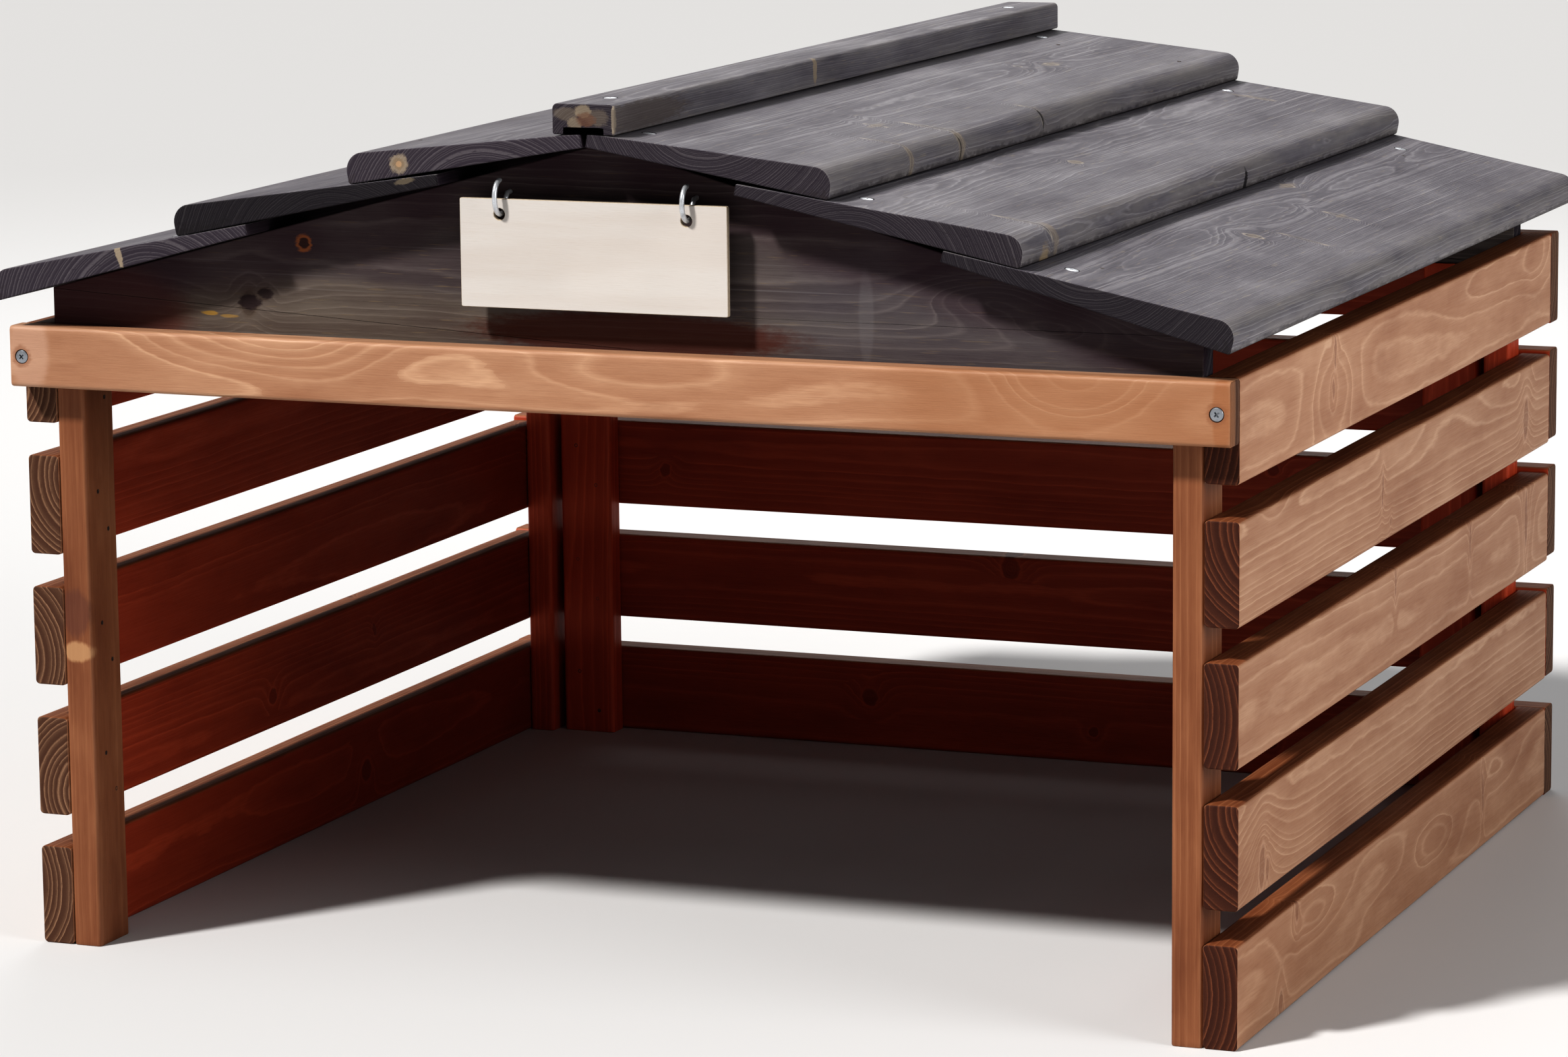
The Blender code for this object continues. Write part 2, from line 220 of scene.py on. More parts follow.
def lathe(profile, segments=32):
    """A bmesh of (radius, height) points turned round local Z."""
    builder = bmesh.new()
    verts = [builder.verts.new((radius, 0.0, height)) for radius, height in profile]
    edges = [builder.edges.new(pair) for pair in zip(verts, verts[1:])]
    turn = {"cent": (0, 0, 0), "axis": (0, 0, 1), "angle": 2 * pi, "steps": segments}
    bmesh.ops.spin(builder, geom=verts + edges, use_merge=True, **turn)
    bmesh.ops.remove_doubles(builder, verts=builder.verts[:], dist=1e-6)
    bmesh.ops.recalc_face_normals(builder, faces=builder.faces[:])
    return builder


def evaluated_mesh(source):
    """A mesh of an object with its modifiers or its bevel applied."""
    bpy.context.view_layer.update()
    graph = bpy.context.evaluated_depsgraph_get()
    return bpy.data.meshes.new_from_object(source.evaluated_get(graph))


def cut_away(target, cutters, crossed=False):
    """Takes the cutters out of the target, and deletes them. crossed says that a cutter crosses itself."""
    for cutter in cutters:
        modifier = target.modifiers.new(cutter.name, "BOOLEAN")
        modifier.operation = "DIFFERENCE"
        modifier.solver = "EXACT"
        modifier.use_self = crossed
        modifier.object = cutter
    cut = evaluated_mesh(target)
    target.modifiers.clear()
    target.data = cut
    for cutter in cutters:
        bpy.data.objects.remove(cutter, do_unlink=True)


def aim(direction):
    """Turns local -Z, the way a screw is driven, to a direction."""
    return (-Vector(direction)).to_track_quat("Z", "Y").to_matrix().to_4x4()


# ---------------------------------------------------------------- node trees


class Nodes:
    """Adds shader nodes by calls that take and give sockets."""

    def __init__(self, tree):
        self.tree = tree

    def feed(self, socket, value):
        if isinstance(value, bpy.types.NodeSocket):
            self.tree.links.new(value, socket)
        else:
            socket.default_value = value

    def add(self, kind, inputs=None, **settings):
        node = self.tree.nodes.new(kind)
        for name, value in settings.items():
            setattr(node, name, value)
        for key, value in (inputs or {}).items():
            self.feed(node.inputs[key], value)
        return node

    def math(self, operation, *values):
        return self.add("ShaderNodeMath", dict(enumerate(values)), operation=operation).outputs[0]

    def total(self, *values):
        made = values[0]
        for value in values[1:]:
            made = self.math("ADD", made, value)
        return made

    def product(self, *values):
        made = values[0]
        for value in values[1:]:
            made = self.math("MULTIPLY", made, value)
        return made

    def scaled(self, vector, scale):
        node = self.add("ShaderNodeVectorMath", {0: vector, 1: scale}, operation="MULTIPLY")
        return node.outputs[0]

    def shifted(self, vector, shift):
        node = self.add("ShaderNodeVectorMath", {0: vector, 1: shift}, operation="ADD")
        return node.outputs[0]

    def noise(self, vector, scale, detail=2.0, roughness=0.5):
        place = self.scaled(vector, scale)
        inputs = {"Vector": place, "Scale": 1.0, "Detail": detail, "Roughness": roughness}
        return self.add("ShaderNodeTexNoise", inputs).outputs[0]

    def swing(self, *settings):
        """Noise about zero, from -0.5 to 0.5."""
        return self.math("SUBTRACT", self.noise(*settings), 0.5)

    def ramp(self, value, *stops):
        """A grey curve through (position, value) stops."""
        node = self.add("ShaderNodeValToRGB", {"Fac": value})
        elements = node.color_ramp.elements
        while len(elements) < len(stops):
            elements.new(0.5)
        for element, (position, level) in zip(elements, stops):
            element.position = position
            element.color = (level, level, level, 1)
        return node.outputs["Color"]

    def between(self, value, low, high, start=0.0, end=1.0):
        """Smoothly from start to end as the value goes from low to high."""
        inputs = {"Value": value, "From Min": low, "From Max": high, "To Min": start, "To Max": end}
        return self.add("ShaderNodeMapRange", inputs, interpolation_type="SMOOTHSTEP").outputs[0]

    def mix(self, factor, first, second, blend="MIX"):
        node = self.add("ShaderNodeMix", data_type="RGBA", blend_type=blend, clamp_factor=True)
        for socket, value in ((node.inputs[0], factor), (node.inputs[6], first), (node.inputs[7], second)):
            if isinstance(value, tuple) and len(value) == 3:
                value = (*value, 1.0)
            self.feed(socket, value)
        return node.outputs[2]

    def over(self, colour, top, value, low, high, strength=1.0):
        """The colour, with the top colour over it, up to a strength, as the value goes from low to high."""
        return self.mix(self.between(value, low, high, 0.0, strength), colour, top)

    def bump(self, shader, height, strength, distance):
        """Roughens a shader's surface by a height of 0 to 1."""
        node = self.add("ShaderNodeBump", {"Strength": strength, "Distance": distance, "Height": height})
        self.feed(shader.inputs["Normal"], node.outputs[0])

    def split(self, vector):
        return self.add("ShaderNodeSeparateXYZ", {"Vector": vector}).outputs

    def use(self, group, inputs):
        """The outputs of one of the node groups below."""
        return self.add("ShaderNodeGroup", inputs, node_tree=GROUPS[group]).outputs

    def attribute(self, name):
        return self.add("ShaderNodeAttribute", attribute_name=name)


def new_group(name, inputs, outputs):
    """A node group that takes and gives floats: its tree, its Nodes, and the sockets inside for both."""
    tree = bpy.data.node_groups.new(name, "ShaderNodeTree")
    for way, labels in (("INPUT", inputs), ("OUTPUT", outputs)):
        for label in labels:
            tree.interface.new_socket(label, in_out=way, socket_type="NodeSocketFloat")
    nodes = Nodes(tree)
    given = nodes.add("NodeGroupInput")
    taken = nodes.add("NodeGroupOutput")
    return tree, nodes, given.outputs, taken.inputs


def new_material(name):
    """A material, its Nodes and its shader."""
    material = bpy.data.materials.new(name)
    material.use_nodes = True
    return material, Nodes(material.node_tree), material.node_tree.nodes["Principled BSDF"]


def polar_grain(nodes):
    """The grain attribute, and its place as distance along the trunk, radius and angle round the pith."""
    grain = nodes.attribute("grain").outputs["Vector"]
    across, along, depth = nodes.split(grain)
    squares = nodes.total(nodes.product(across, across), nodes.product(depth, depth))
    radius = nodes.math("SQRT", squares)
    angle = nodes.math("ARCTAN2", across, depth)
    return grain, along, radius, angle


# How far a branch climbs along the trunk for each metre out from the pith.
BRANCH_RISE = 0.12


def branch_distance(nodes, grain, along, radius, angle, at_along, at_angle, size, stretch=1.0):
    """Distance from a branch that runs out from the pith, in units of its own radius."""
    wobble = nodes.product(nodes.swing(grain, (160, 90, 160), 1.0), 0.005)
    rise = nodes.product(radius, BRANCH_RISE)
    lengthwise = nodes.total(nodes.math("SUBTRACT", along, at_along), rise, wobble)
    sideways = nodes.product(nodes.math("SUBTRACT", angle, at_angle), radius)
    sideways = nodes.math("DIVIDE", sideways, stretch)
    squares = nodes.total(nodes.product(lengthwise, lengthwise), nodes.product(sideways, sideways))
    return nodes.math("DIVIDE", nodes.math("SQRT", squares), size)


def knot_group():
    """One knot at a stated place. A timber chains several, and keeps the nearest."""
    tree, nodes, given, taken = new_group(
        "one_knot",
        ("Nearest", "Size so far", "Along", "Angle", "Size", "Stretch"),
        ("Nearest", "Size so far"),
    )
    place = [given["Along"], given["Angle"], given["Size"], given["Stretch"]]
    found = branch_distance(nodes, *polar_grain(nodes), *place)
    nearer = nodes.math("LESS_THAN", found, given["Nearest"])
    nodes.feed(taken["Nearest"], nodes.math("MINIMUM", found, given["Nearest"]))
    difference = nodes.math("SUBTRACT", given["Size"], given["Size so far"])
    nodes.feed(taken["Size so far"], nodes.total(given["Size so far"], nodes.product(nearer, difference)))
    return tree


def random_knots_group():
    """Knots scattered along the trunk."""
    tree, nodes, given, taken = new_group("random_knots", ("Share", "Size"), ("Nearest", "Size so far"))
    spacing = 0.17
    fan = 0.9
    grain, along, radius, angle = polar_grain(nodes)
    inputs = {"X": nodes.product(along, 1 / spacing), "Y": nodes.product(angle, 1 / fan)}
    combined = nodes.add("ShaderNodeCombineXYZ", inputs).outputs[0]
    inputs = {"Vector": combined, "Scale": 1.0, "Randomness": 0.8}
    cells = nodes.add("ShaderNodeTexVoronoi", inputs, voronoi_dimensions="2D")
    place = nodes.split(cells.outputs["Position"])
    colour = nodes.split(cells.outputs["Color"])
    size = nodes.product(given["Size"], nodes.math("ADD", nodes.product(colour[1], 0.9), 0.5))
    centre = (nodes.product(place[0], spacing), nodes.product(place[1], fan))
    found = branch_distance(nodes, grain, along, radius, angle, *centre, size)
    absent = nodes.math("GREATER_THAN", colour[0], given["Share"])
    nodes.feed(taken["Nearest"], nodes.total(found, nodes.product(absent, 50.0)))
    nodes.feed(taken["Size so far"], size)
    return tree


def grain_group():
    """Growth rings, fibres, blotches and knots of softwood, from the grain attribute."""
    tree, nodes, given, taken = new_group(
        "softwood_grain",
        ("Knot", "Knot size", "Ring width", "Wander", "Swell"),
        ("Late wood", "Fibre", "Blotch", "Knot", "Knot rim"),
    )
    grain, _, radius, _ = polar_grain(nodes)
    # The trunk isn't straight, which bends the rings into long arches on a flat face.
    sway = nodes.swing(grain, (7, 2.4, 7), 1.0)
    ripple = nodes.swing(grain, (40, 16, 40), 2.0)
    ragged = nodes.swing(grain, (300, 60, 300), 1.0)
    closeness = nodes.math("EXPONENT", nodes.product(given["Knot"], given["Knot"], -0.16))
    swell = nodes.math("ADD", nodes.product(closeness, given["Knot size"], 1.5), given["Swell"])
    reach = nodes.total(
        radius,
        nodes.product(sway, given["Wander"]),
        nodes.product(ripple, 0.0022),
        nodes.product(ragged, 0.0006),
        swell,
    )
    years = nodes.math("DIVIDE", reach, given["Ring width"])
    inputs = {"W": years, "Scale": 0.45, "Detail": 1.0}
    uneven = nodes.add("ShaderNodeTexNoise", inputs, noise_dimensions="1D").outputs[0]
    years = nodes.total(years, nodes.product(uneven, 1.7))
    season = nodes.math("FRACT", years)
    late = nodes.ramp(season, (0.0, 0.30), (0.07, 0.0), (0.45, 0.08), (0.78, 0.38), (0.90, 1.0), (1.0, 0.45))
    whole = nodes.math("FLOOR", years)
    year = nodes.add("ShaderNodeTexWhiteNoise", {"W": whole}, noise_dimensions="1D").outputs["Value"]
    strength = nodes.math("ADD", nodes.product(year, 0.6), 0.4)
    nodes.feed(taken["Late wood"], nodes.product(late, strength))
    nodes.feed(taken["Fibre"], nodes.noise(grain, (1500, 26, 1500), 3.0, 0.6))
    nodes.feed(taken["Blotch"], nodes.noise(grain, (22, 7, 22), 4.0, 0.6))
    nodes.feed(taken["Knot"], nodes.between(given["Knot"], 1.12, 0.86))
    rim = nodes.product(nodes.between(given["Knot"], 0.8, 1.0), nodes.between(given["Knot"], 1.5, 1.06))
    nodes.feed(taken["Knot rim"], rim)
    return tree


GROUPS = {"knot": knot_group(), "scattered": random_knots_group(), "grain": grain_group()}

# Stains. Each colour is what one part of the wood turns to under one coat; shade is a painted shade tint, not
# a colour of the stain.
TERRACOTTA = {
    "early": (0.348, 0.186, 0.110),
    "late": (0.520, 0.330, 0.215),
    "deep": (0.215, 0.088, 0.044),
    "knot": (0.190, 0.082, 0.045),
    "knot_rim": (0.50, 0.31, 0.21),
    "worn": (0.52, 0.32, 0.21),
    "end": (0.066, 0.026, 0.013),
    "end_late": (0.340, 0.200, 0.120),
    "scratch": (0.50, 0.30, 0.18),
    "dash": (0.50, 0.30, 0.18),
    "dashes": 0.0,
    # Painted shade: the dark red tint that a surface deep inside the shelter takes.
    "shade": (0.80, 0.225, 0.135),
    "roughness": 0.50,
    "gloss": 0.30,
    "ring_width": 0.0042,
    "scratches": 0.10,
}
ANTHRACITE = {
    "early": (0.112, 0.104, 0.119),
    "late": (0.255, 0.243, 0.258),
    "deep": (0.045, 0.037, 0.050),
    "knot": (0.026, 0.020, 0.022),
    "knot_rim": (0.46, 0.40, 0.32),
    "worn": (0.235, 0.218, 0.205),
    "end": (0.027, 0.021, 0.029),
    "end_late": (0.120, 0.108, 0.116),
    "scratch": (0.44, 0.42, 0.43),
    "dash": (0.36, 0.30, 0.20),
    "dashes": 0.25,
    # Painted shade: the tint of a roof board's thin inner edge, under the board above.
    "shade": (0.22, 0.17, 0.22),
    "roughness": 0.56,
    "gloss": 0.25,
    "ring_width": 0.0015,
    "scratches": 0.45,
}
# The gable boards took the stain more evenly, and show warm streaks through it.
GABLE = {
    **ANTHRACITE,
    "early": (0.078, 0.063, 0.062),
    "late": (0.185, 0.158, 0.148),
    "deep": (0.036, 0.022, 0.028),
    "knot": (0.026, 0.012, 0.012),
    "knot_rim": (0.060, 0.038, 0.030),
    "worn": (0.17, 0.15, 0.13),
    "dash": (0.20, 0.145, 0.085),
    "dashes": 0.40,
    "gloss": 0.15,
    "roughness": 0.62,
    "ring_width": 0.0034,
    "scratches": 0.12,
}


def distance_from(nodes, grain, centre, reach):
    """Distance from a place in the grain's coordinates, in units of reach along each of them."""
    offset = nodes.shifted(grain, tuple(-level for level in centre))
    offset = nodes.scaled(offset, tuple(1 / level for level in reach))
    return nodes.add("ShaderNodeVectorMath", {0: offset}, operation="LENGTH").outputs["Value"]


SCATTERED_KNOT_RADIUS = 0.0062


def nearest_knot(nodes, knots, share):
    """The nearest knot, stated or scattered, as a group's inputs: its distance and its size."""
    found = nodes.use("scattered", {"Share": share, "Size": SCATTERED_KNOT_RADIUS})
    for along, angle, radius, stretch in knots:
        so_far = {"Nearest": found["Nearest"], "Size so far": found["Size so far"]}
        stated = {"Along": along, "Angle": angle, "Size": radius, "Stretch": stretch}
        found = nodes.use("knot", {**so_far, **stated})
    return {"Knot": found["Nearest"], "Knot size": found["Size so far"]}


def swelling(nodes, grain, eyes):
    """How far the rings bulge at each eye, in metres. A bulge shows as nested ellipses on a flat face."""
    found = 0.0
    for centre, reach, rise in eyes:
        away = distance_from(nodes, grain, centre, reach)
        bulge = nodes.product(nodes.math("EXPONENT", nodes.product(away, away, -1.0)), rise)
        found = nodes.math("ADD", found, bulge)
    return found


# How much rougher a sawn end is than a planed side.
END_ROUGHNESS = 0.16
# How far the edge of a patch strays, in metres.
PATCH_RAGGEDNESS = 0.0066


def patched(nodes, grain, colour, patches):
    """The colour with each patch of another colour over it, ragged along the fibres."""
    if patches:
        ragged = nodes.swing(grain, (420, 130, 420), 3.0, 0.6)
    for centre, reach, patch_colour, strength in patches:
        share = min(1.0, PATCH_RAGGEDNESS / reach[0])
        edge = nodes.math("ADD", distance_from(nodes, grain, centre, reach), nodes.product(ragged, share))
        colour = nodes.over(colour, patch_colour, edge, 1.15, 0.75, strength)
    return colour


def end_colour(nodes, grain, wood, stain):
    """The bare colour of a sawn end: rings, open fibres and drying checks."""
    colour = nodes.mix(nodes.product(wood["late"], 0.9), stain["end"], stain["end_late"])
    colour = nodes.over(colour, stain["end"], wood["fibre"], 0.45, 0.75, 0.5)
    checks = nodes.noise(grain, (120, 1, 700), 2.0)
    return nodes.over(colour, stain["end"], checks, 0.62, 0.72, 0.7)


def side_colour(nodes, grain, wood, stain):
    """The bare colour along the fibres: rings, stain that soaked in unevenly, streaks and dashes."""
    colour = nodes.mix(wood["late"], stain["early"], stain["late"])
    colour = nodes.over(colour, stain["deep"], wood["fibre"], 0.38, 0.8, 0.30)
    colour = nodes.over(colour, stain["deep"], wood["blotch"], 0.47, 0.74, 0.45)
    colour = nodes.over(colour, stain["late"], wood["blotch"], 0.5, 0.3, 0.30)
    streak = nodes.noise(grain, (700, 3.0, 700), 2.0)
    colour = nodes.over(colour, stain["scratch"], streak, 0.64, 0.74, stain["scratches"])
    if stain["dashes"]:
        short = nodes.noise(grain, (900, 45, 900), 1.0)
        colour = nodes.over(colour, stain["dash"], short, 0.66, 0.74, stain["dashes"])
    return colour


def with_knots(nodes, colour, wood, stain, depth):
    colour = nodes.mix(nodes.product(wood["rim"], 0.55), colour, stain["knot_rim"])
    rings = nodes.math("FRACT", nodes.product(wood["nearest"], 3.3))
    heart = nodes.mix(nodes.product(rings, 0.35), stain["knot"], stain["early"])
    return nodes.mix(nodes.product(wood["knot"], depth), colour, heart)


def with_wear(nodes, grain, colour, stain, amount):
    """Paler wood along the arrises."""
    wear = nodes.attribute("wear").outputs["Fac"]
    patchy = nodes.noise(grain, (90, 11, 90), 3.0, 0.6)
    worn = nodes.product(wear, nodes.between(patchy, 0.30, 0.66), amount)
    return nodes.mix(worn, colour, stain["worn"])


def coated(nodes, colour, stain, look):
    """The colour under the look's coats of stain, with painted shade: faces that point up or down and faces
    that point down take extra coats, and points deep inside the shelter take the stain's shade tint.
    """
    upright = nodes.split(nodes.add("ShaderNodeNewGeometry").outputs["True Normal"])[2]
    coats = nodes.total(
        look["coats"],
        # Painted shade: faces that point up or down take extra coats, as if shaded in the gaps between
        # boards.
        nodes.between(nodes.math("ABSOLUTE", upright), 0.5, 0.9, 0.0, look["edge_coats"]),
        # Painted shade: faces that point down take extra coats, as if shaded from above.
        nodes.between(upright, -0.5, -0.9, 0.0, look["under_coats"]),
    )
    deepened = nodes.add("ShaderNodeGamma", {"Color": colour, "Gamma": coats}).outputs[0]
    shaded = nodes.mix(1.0, colour, stain["shade"], "MULTIPLY")
    # Painted shade: the shade tint by each point's painted-shade share, but not on faces that point up.
    sheltered = nodes.between(nodes.attribute("sheltered").outputs["Fac"], 0.55, 1.0)
    sheltered = nodes.product(sheltered, nodes.between(upright, 0.5, 0.9, 1.0, 0.0))
    return nodes.mix(sheltered, deepened, shaded)


def timber_material(name, stain, look, end):
    """Stained softwood. look holds one timber's own tone, coats, knots, eyes and patches."""
    material, nodes, shader = new_material(name)
    grain = nodes.attribute("grain").outputs["Vector"]
    knot = nearest_knot(nodes, look["knots"], look["share"])
    leaning = nodes.product(nodes.split(grain)[1], look["tilt"])
    rings = {
        "Ring width": stain["ring_width"] * look["ring_scale"],
        "Wander": look["wander"],
        "Swell": nodes.math("ADD", swelling(nodes, grain, look["eyes"]), leaning),
    }
    found = nodes.use("grain", {**knot, **rings})
    wood = {
        "late": nodes.product(found["Late wood"], look["figure"]),
        "fibre": found["Fibre"],
        "blotch": found["Blotch"],
        "knot": found["Knot"],
        "rim": found["Knot rim"],
        "nearest": knot["Knot"],
    }

    bare_colour = end_colour if end else side_colour
    colour = bare_colour(nodes, grain, wood, stain)
    colour = with_knots(nodes, colour, wood, stain, look["knot_depth"])
    colour = with_wear(nodes, grain, colour, stain, 0.0 if end else look["worn"])
    # The corners listed in the look are darker, with a serrated edge, and sunk a little in the bump.
    dark_edge = nodes.attribute("dark_edge").outputs["Fac"]
    serrated = nodes.swing(grain, (260, 110, 260), 2.0, 0.6)
    dark_edge_level = nodes.math("ADD", dark_edge, nodes.product(serrated, 1.3))
    darkening = nodes.product(nodes.between(dark_edge_level, 0.35, 0.75, 0.0, 0.85), dark_edge)
    colour = nodes.mix(darkening, colour, stain["knot"])
    colour = patched(nodes, grain, colour, look["patches"])
    tint = look["end_tint"] if end else (look["tone"],) * 3
    colour = nodes.mix(1.0, colour, tint, "MULTIPLY")
    if not end:
        colour = coated(nodes, colour, stain, look)
    nodes.feed(shader.inputs["Base Color"], colour)

    roughness = nodes.total(
        stain["roughness"] + (END_ROUGHNESS if end else 0.0),
        nodes.product(nodes.math("SUBTRACT", wood["fibre"], 0.5), 0.25),
        nodes.product(wood["late"], -0.08),
        nodes.product(wood["blotch"], 0.12),
    )
    nodes.feed(shader.inputs["Roughness"], roughness)
    shader.inputs["Specular IOR Level"].default_value = stain["gloss"]
    height = nodes.total(
        nodes.product(wood["fibre"], 0.5),
        nodes.product(wood["late"], 0.35),
        nodes.product(wood["rim"], -0.4),
        nodes.product(nodes.noise(grain, (60, 20, 60), 2.0), 0.8),
        nodes.product(dark_edge_level, -0.5),
    )
    nodes.bump(shader, height, 0.55, 0.0005)
    return material


def object_place(nodes):
    return nodes.add("ShaderNodeTexCoord").outputs["Object"]


def hole_material(name, colour):
    """Torn fibres in a countersink."""
    material, nodes, shader = new_material(name)
    torn = nodes.noise(object_place(nodes), (2500, 2500, 2500), 3.0)
    light = tuple(3 * level for level in colour)
    nodes.feed(shader.inputs["Base Color"], nodes.mix(torn, colour, light))
    shader.inputs["Roughness"].default_value = 0.85
    return material


WHITE_RUST = (0.3, 0.3, 0.31)


def zinc_material(name, colour=(0.62, 0.64, 0.67), roughness=0.30, metallic=0.62):
    """Bright zinc plating with small dull spots and a little grime."""
    material, nodes, shader = new_material(name)
    place = object_place(nodes)
    spots = nodes.noise(place, (900, 900, 900), 3.0, 0.6)
    darkening = nodes.noise(place, (260, 260, 260), 2.0)
    dull = tuple(0.55 * level for level in colour)
    base = nodes.over(colour, dull, darkening, 0.5, 0.75, 0.6)
    nodes.feed(shader.inputs["Base Color"], nodes.over(base, WHITE_RUST, spots, 0.6, 0.7, 0.4))
    shader.inputs["Metallic"].default_value = metallic
    nodes.feed(shader.inputs["Roughness"], nodes.math("ADD", nodes.product(spots, 0.28), roughness - 0.12))
    nodes.bump(shader, spots, 0.25, 0.0002)
    return material


def plywood_face_material():
    """Sanded birch: pale, with soft long figure and fine short pores."""
    material, nodes, shader = new_material("birch_face")
    place = object_place(nodes)
    figure = nodes.noise(place, (4, 30, 55), 3.0, 0.55)
    pores = nodes.noise(place, (110, 900, 1300), 2.0)
    cloud = nodes.noise(place, (9, 9, 14), 2.0)
    colour = nodes.over((0.520, 0.487, 0.460), (0.492, 0.448, 0.415), figure, 0.35, 0.65)
    colour = nodes.over(colour, (0.44, 0.36, 0.29), pores, 0.58, 0.72, 0.16)
    colour = nodes.over(colour, (0.58, 0.535, 0.50), cloud, 0.45, 0.7, 0.35)
    nodes.feed(shader.inputs["Base Color"], colour)
    nodes.feed(shader.inputs["Roughness"], nodes.math("ADD", nodes.product(pores, 0.2), 0.5))
    nodes.bump(shader, pores, 0.3, 0.0002)
    return material


def plywood_edge_material(front_y, thickness):
    """Three plies, with the middle one in end grain and darker."""
    material, nodes, shader = new_material("birch_edge")
    place = object_place(nodes)
    depth = nodes.product(nodes.math("SUBTRACT", nodes.split(place)[1], front_y), 1 / thickness)
    middle = nodes.ramp(depth, (0.0, 0.0), (0.30, 0.0), (0.34, 1.0), (0.66, 1.0), (0.70, 0.0))
    glue = nodes.ramp(depth, (0.29, 0.0), (0.32, 1.0), (0.36, 0.0), (0.64, 0.0), (0.68, 1.0), (0.71, 0.0))
    fine = nodes.noise(place, (700, 700, 700), 3.0)
    colour = nodes.mix(middle, (0.50, 0.43, 0.34), (0.36, 0.29, 0.21))
    colour = nodes.mix(nodes.product(glue, 0.6), colour, (0.20, 0.14, 0.09))
    colour = nodes.over(colour, (0.28, 0.22, 0.15), fine, 0.45, 0.75, 0.4)
    nodes.feed(shader.inputs["Base Color"], colour)
    shader.inputs["Roughness"].default_value = 0.75
    nodes.bump(shader, fine, 0.4, 0.0003)
    return material


ZINC = zinc_material("zinc_plating")
# A darker copy of the zinc plating for the rail screws, whose heads catch no glint: painted shade.
ZINC_SHADED = zinc_material("zinc_plating_shaded", (0.36, 0.38, 0.41), 0.36, 0.85)
BRAD = zinc_material("brad_steel", (0.10, 0.08, 0.07), 0.5, 1.0)
HOLE_BROWN = hole_material("countersink_brown", (0.05, 0.02, 0.01))
HOLE_GREY = hole_material("countersink_grey", (0.012, 0.011, 0.012))


# ---------------------------------------------------------------- timbers


def write_vectors(mesh, name, values):
    attribute = mesh.attributes.new(name, "FLOAT_VECTOR", "POINT")
    attribute.data.foreach_set("vector", [level for value in values for level in value])


def write_floats(mesh, name, values):
    attribute = mesh.attributes.new(name, "FLOAT", "POINT")
    attribute.data.foreach_set("value", values)


def corner_closeness(point, corners, reach):
    """1 on a long arris, down to 0 at a distance of reach from it, and 0 where there are no corners."""
    if not corners:
        return 0.0
    nearest = min((Vector((point.x, point.z)) - Vector(corner[:2])).length for corner in corners)
    return max(0.0, 1.0 - nearest / reach) ** 1.4


# How far behind the walls' front a slat's inner side starts to take painted shade, and where it takes it
# fully.
SHADE_STARTS = 0.006
SHADE_FULL = 0.036


def painted_shade_share(points, sheltered):
    """How much painted shade each point takes, 0 to 1, by how deep inside the shelter it lies.

    The second argument is one number, a test of a point or an inward direction.
    """
    if isinstance(sheltered, (int, float)):
        return [float(sheltered)] * len(points)
    if callable(sheltered):
        return [float(sheltered(point)) for point in points]
    inward = Vector(sheltered)
    depths = [point.dot(inward) for point in points]
    low, high = min(depths), max(depths)
    first, last = WALL_FRONT + SHADE_STARTS, WALL_FRONT + SHADE_FULL
    behind_post = [min(1.0, max(0.0, (point.y - first) / (last - first))) for point in points]
    return [share * (depth - low) / (high - low) for depth, share in zip(depths, behind_post)]


# How far from those corners the darkening reaches.
DARK_EDGE_REACH = 0.011
BENDS_PER_METRE = 3.0
END_FACE_COSINE = 0.75

DEFAULT_LOOK = {
    "tone": 1.0,
    "coats": 1.0,
    "knots": (),
    "eyes": (),
    "patches": (),
    "share": 0.22,
    "wander": 0.016,
    "ring_scale": 1.0,
    "knot_depth": 0.9,
    "worn": 0.55,
    "pith": None,
    "tilt": 0.0,
    # Painted shade: extra coats on faces that point up or down, and on faces that point down.
    "edge_coats": 0.0,
    "under_coats": 0.0,
    "end_tint": (1.0, 1.0, 1.0),
    "figure": 1.0,
}


def random_pith(chance):
    return chance.choice((-1, 1)), chance.uniform(0.030, 0.060), chance.uniform(-0.022, 0.022)


def grain_reach(along, across, depth=0.012):
    return (across, along, depth)


def marks_in_grain(look, grain_at):
    """The look's knots, eyes and patches, with their places in the grain's coordinates."""
    knots = []
    for position, radius, stretch in look["knots"]:
        across, along, depth = grain_at(position)
        start = along + BRANCH_RISE * sqrt(across**2 + depth**2)
        knots.append((start, atan2(across, depth), radius, stretch))
    return {
        "knots": knots,
        "eyes": [(grain_at(spot), grain_reach(*reach), rise) for spot, reach, rise in look["eyes"]],
        "patches": [(grain_at(spot), grain_reach(*reach), *rest) for spot, reach, *rest in look["patches"]],
    }


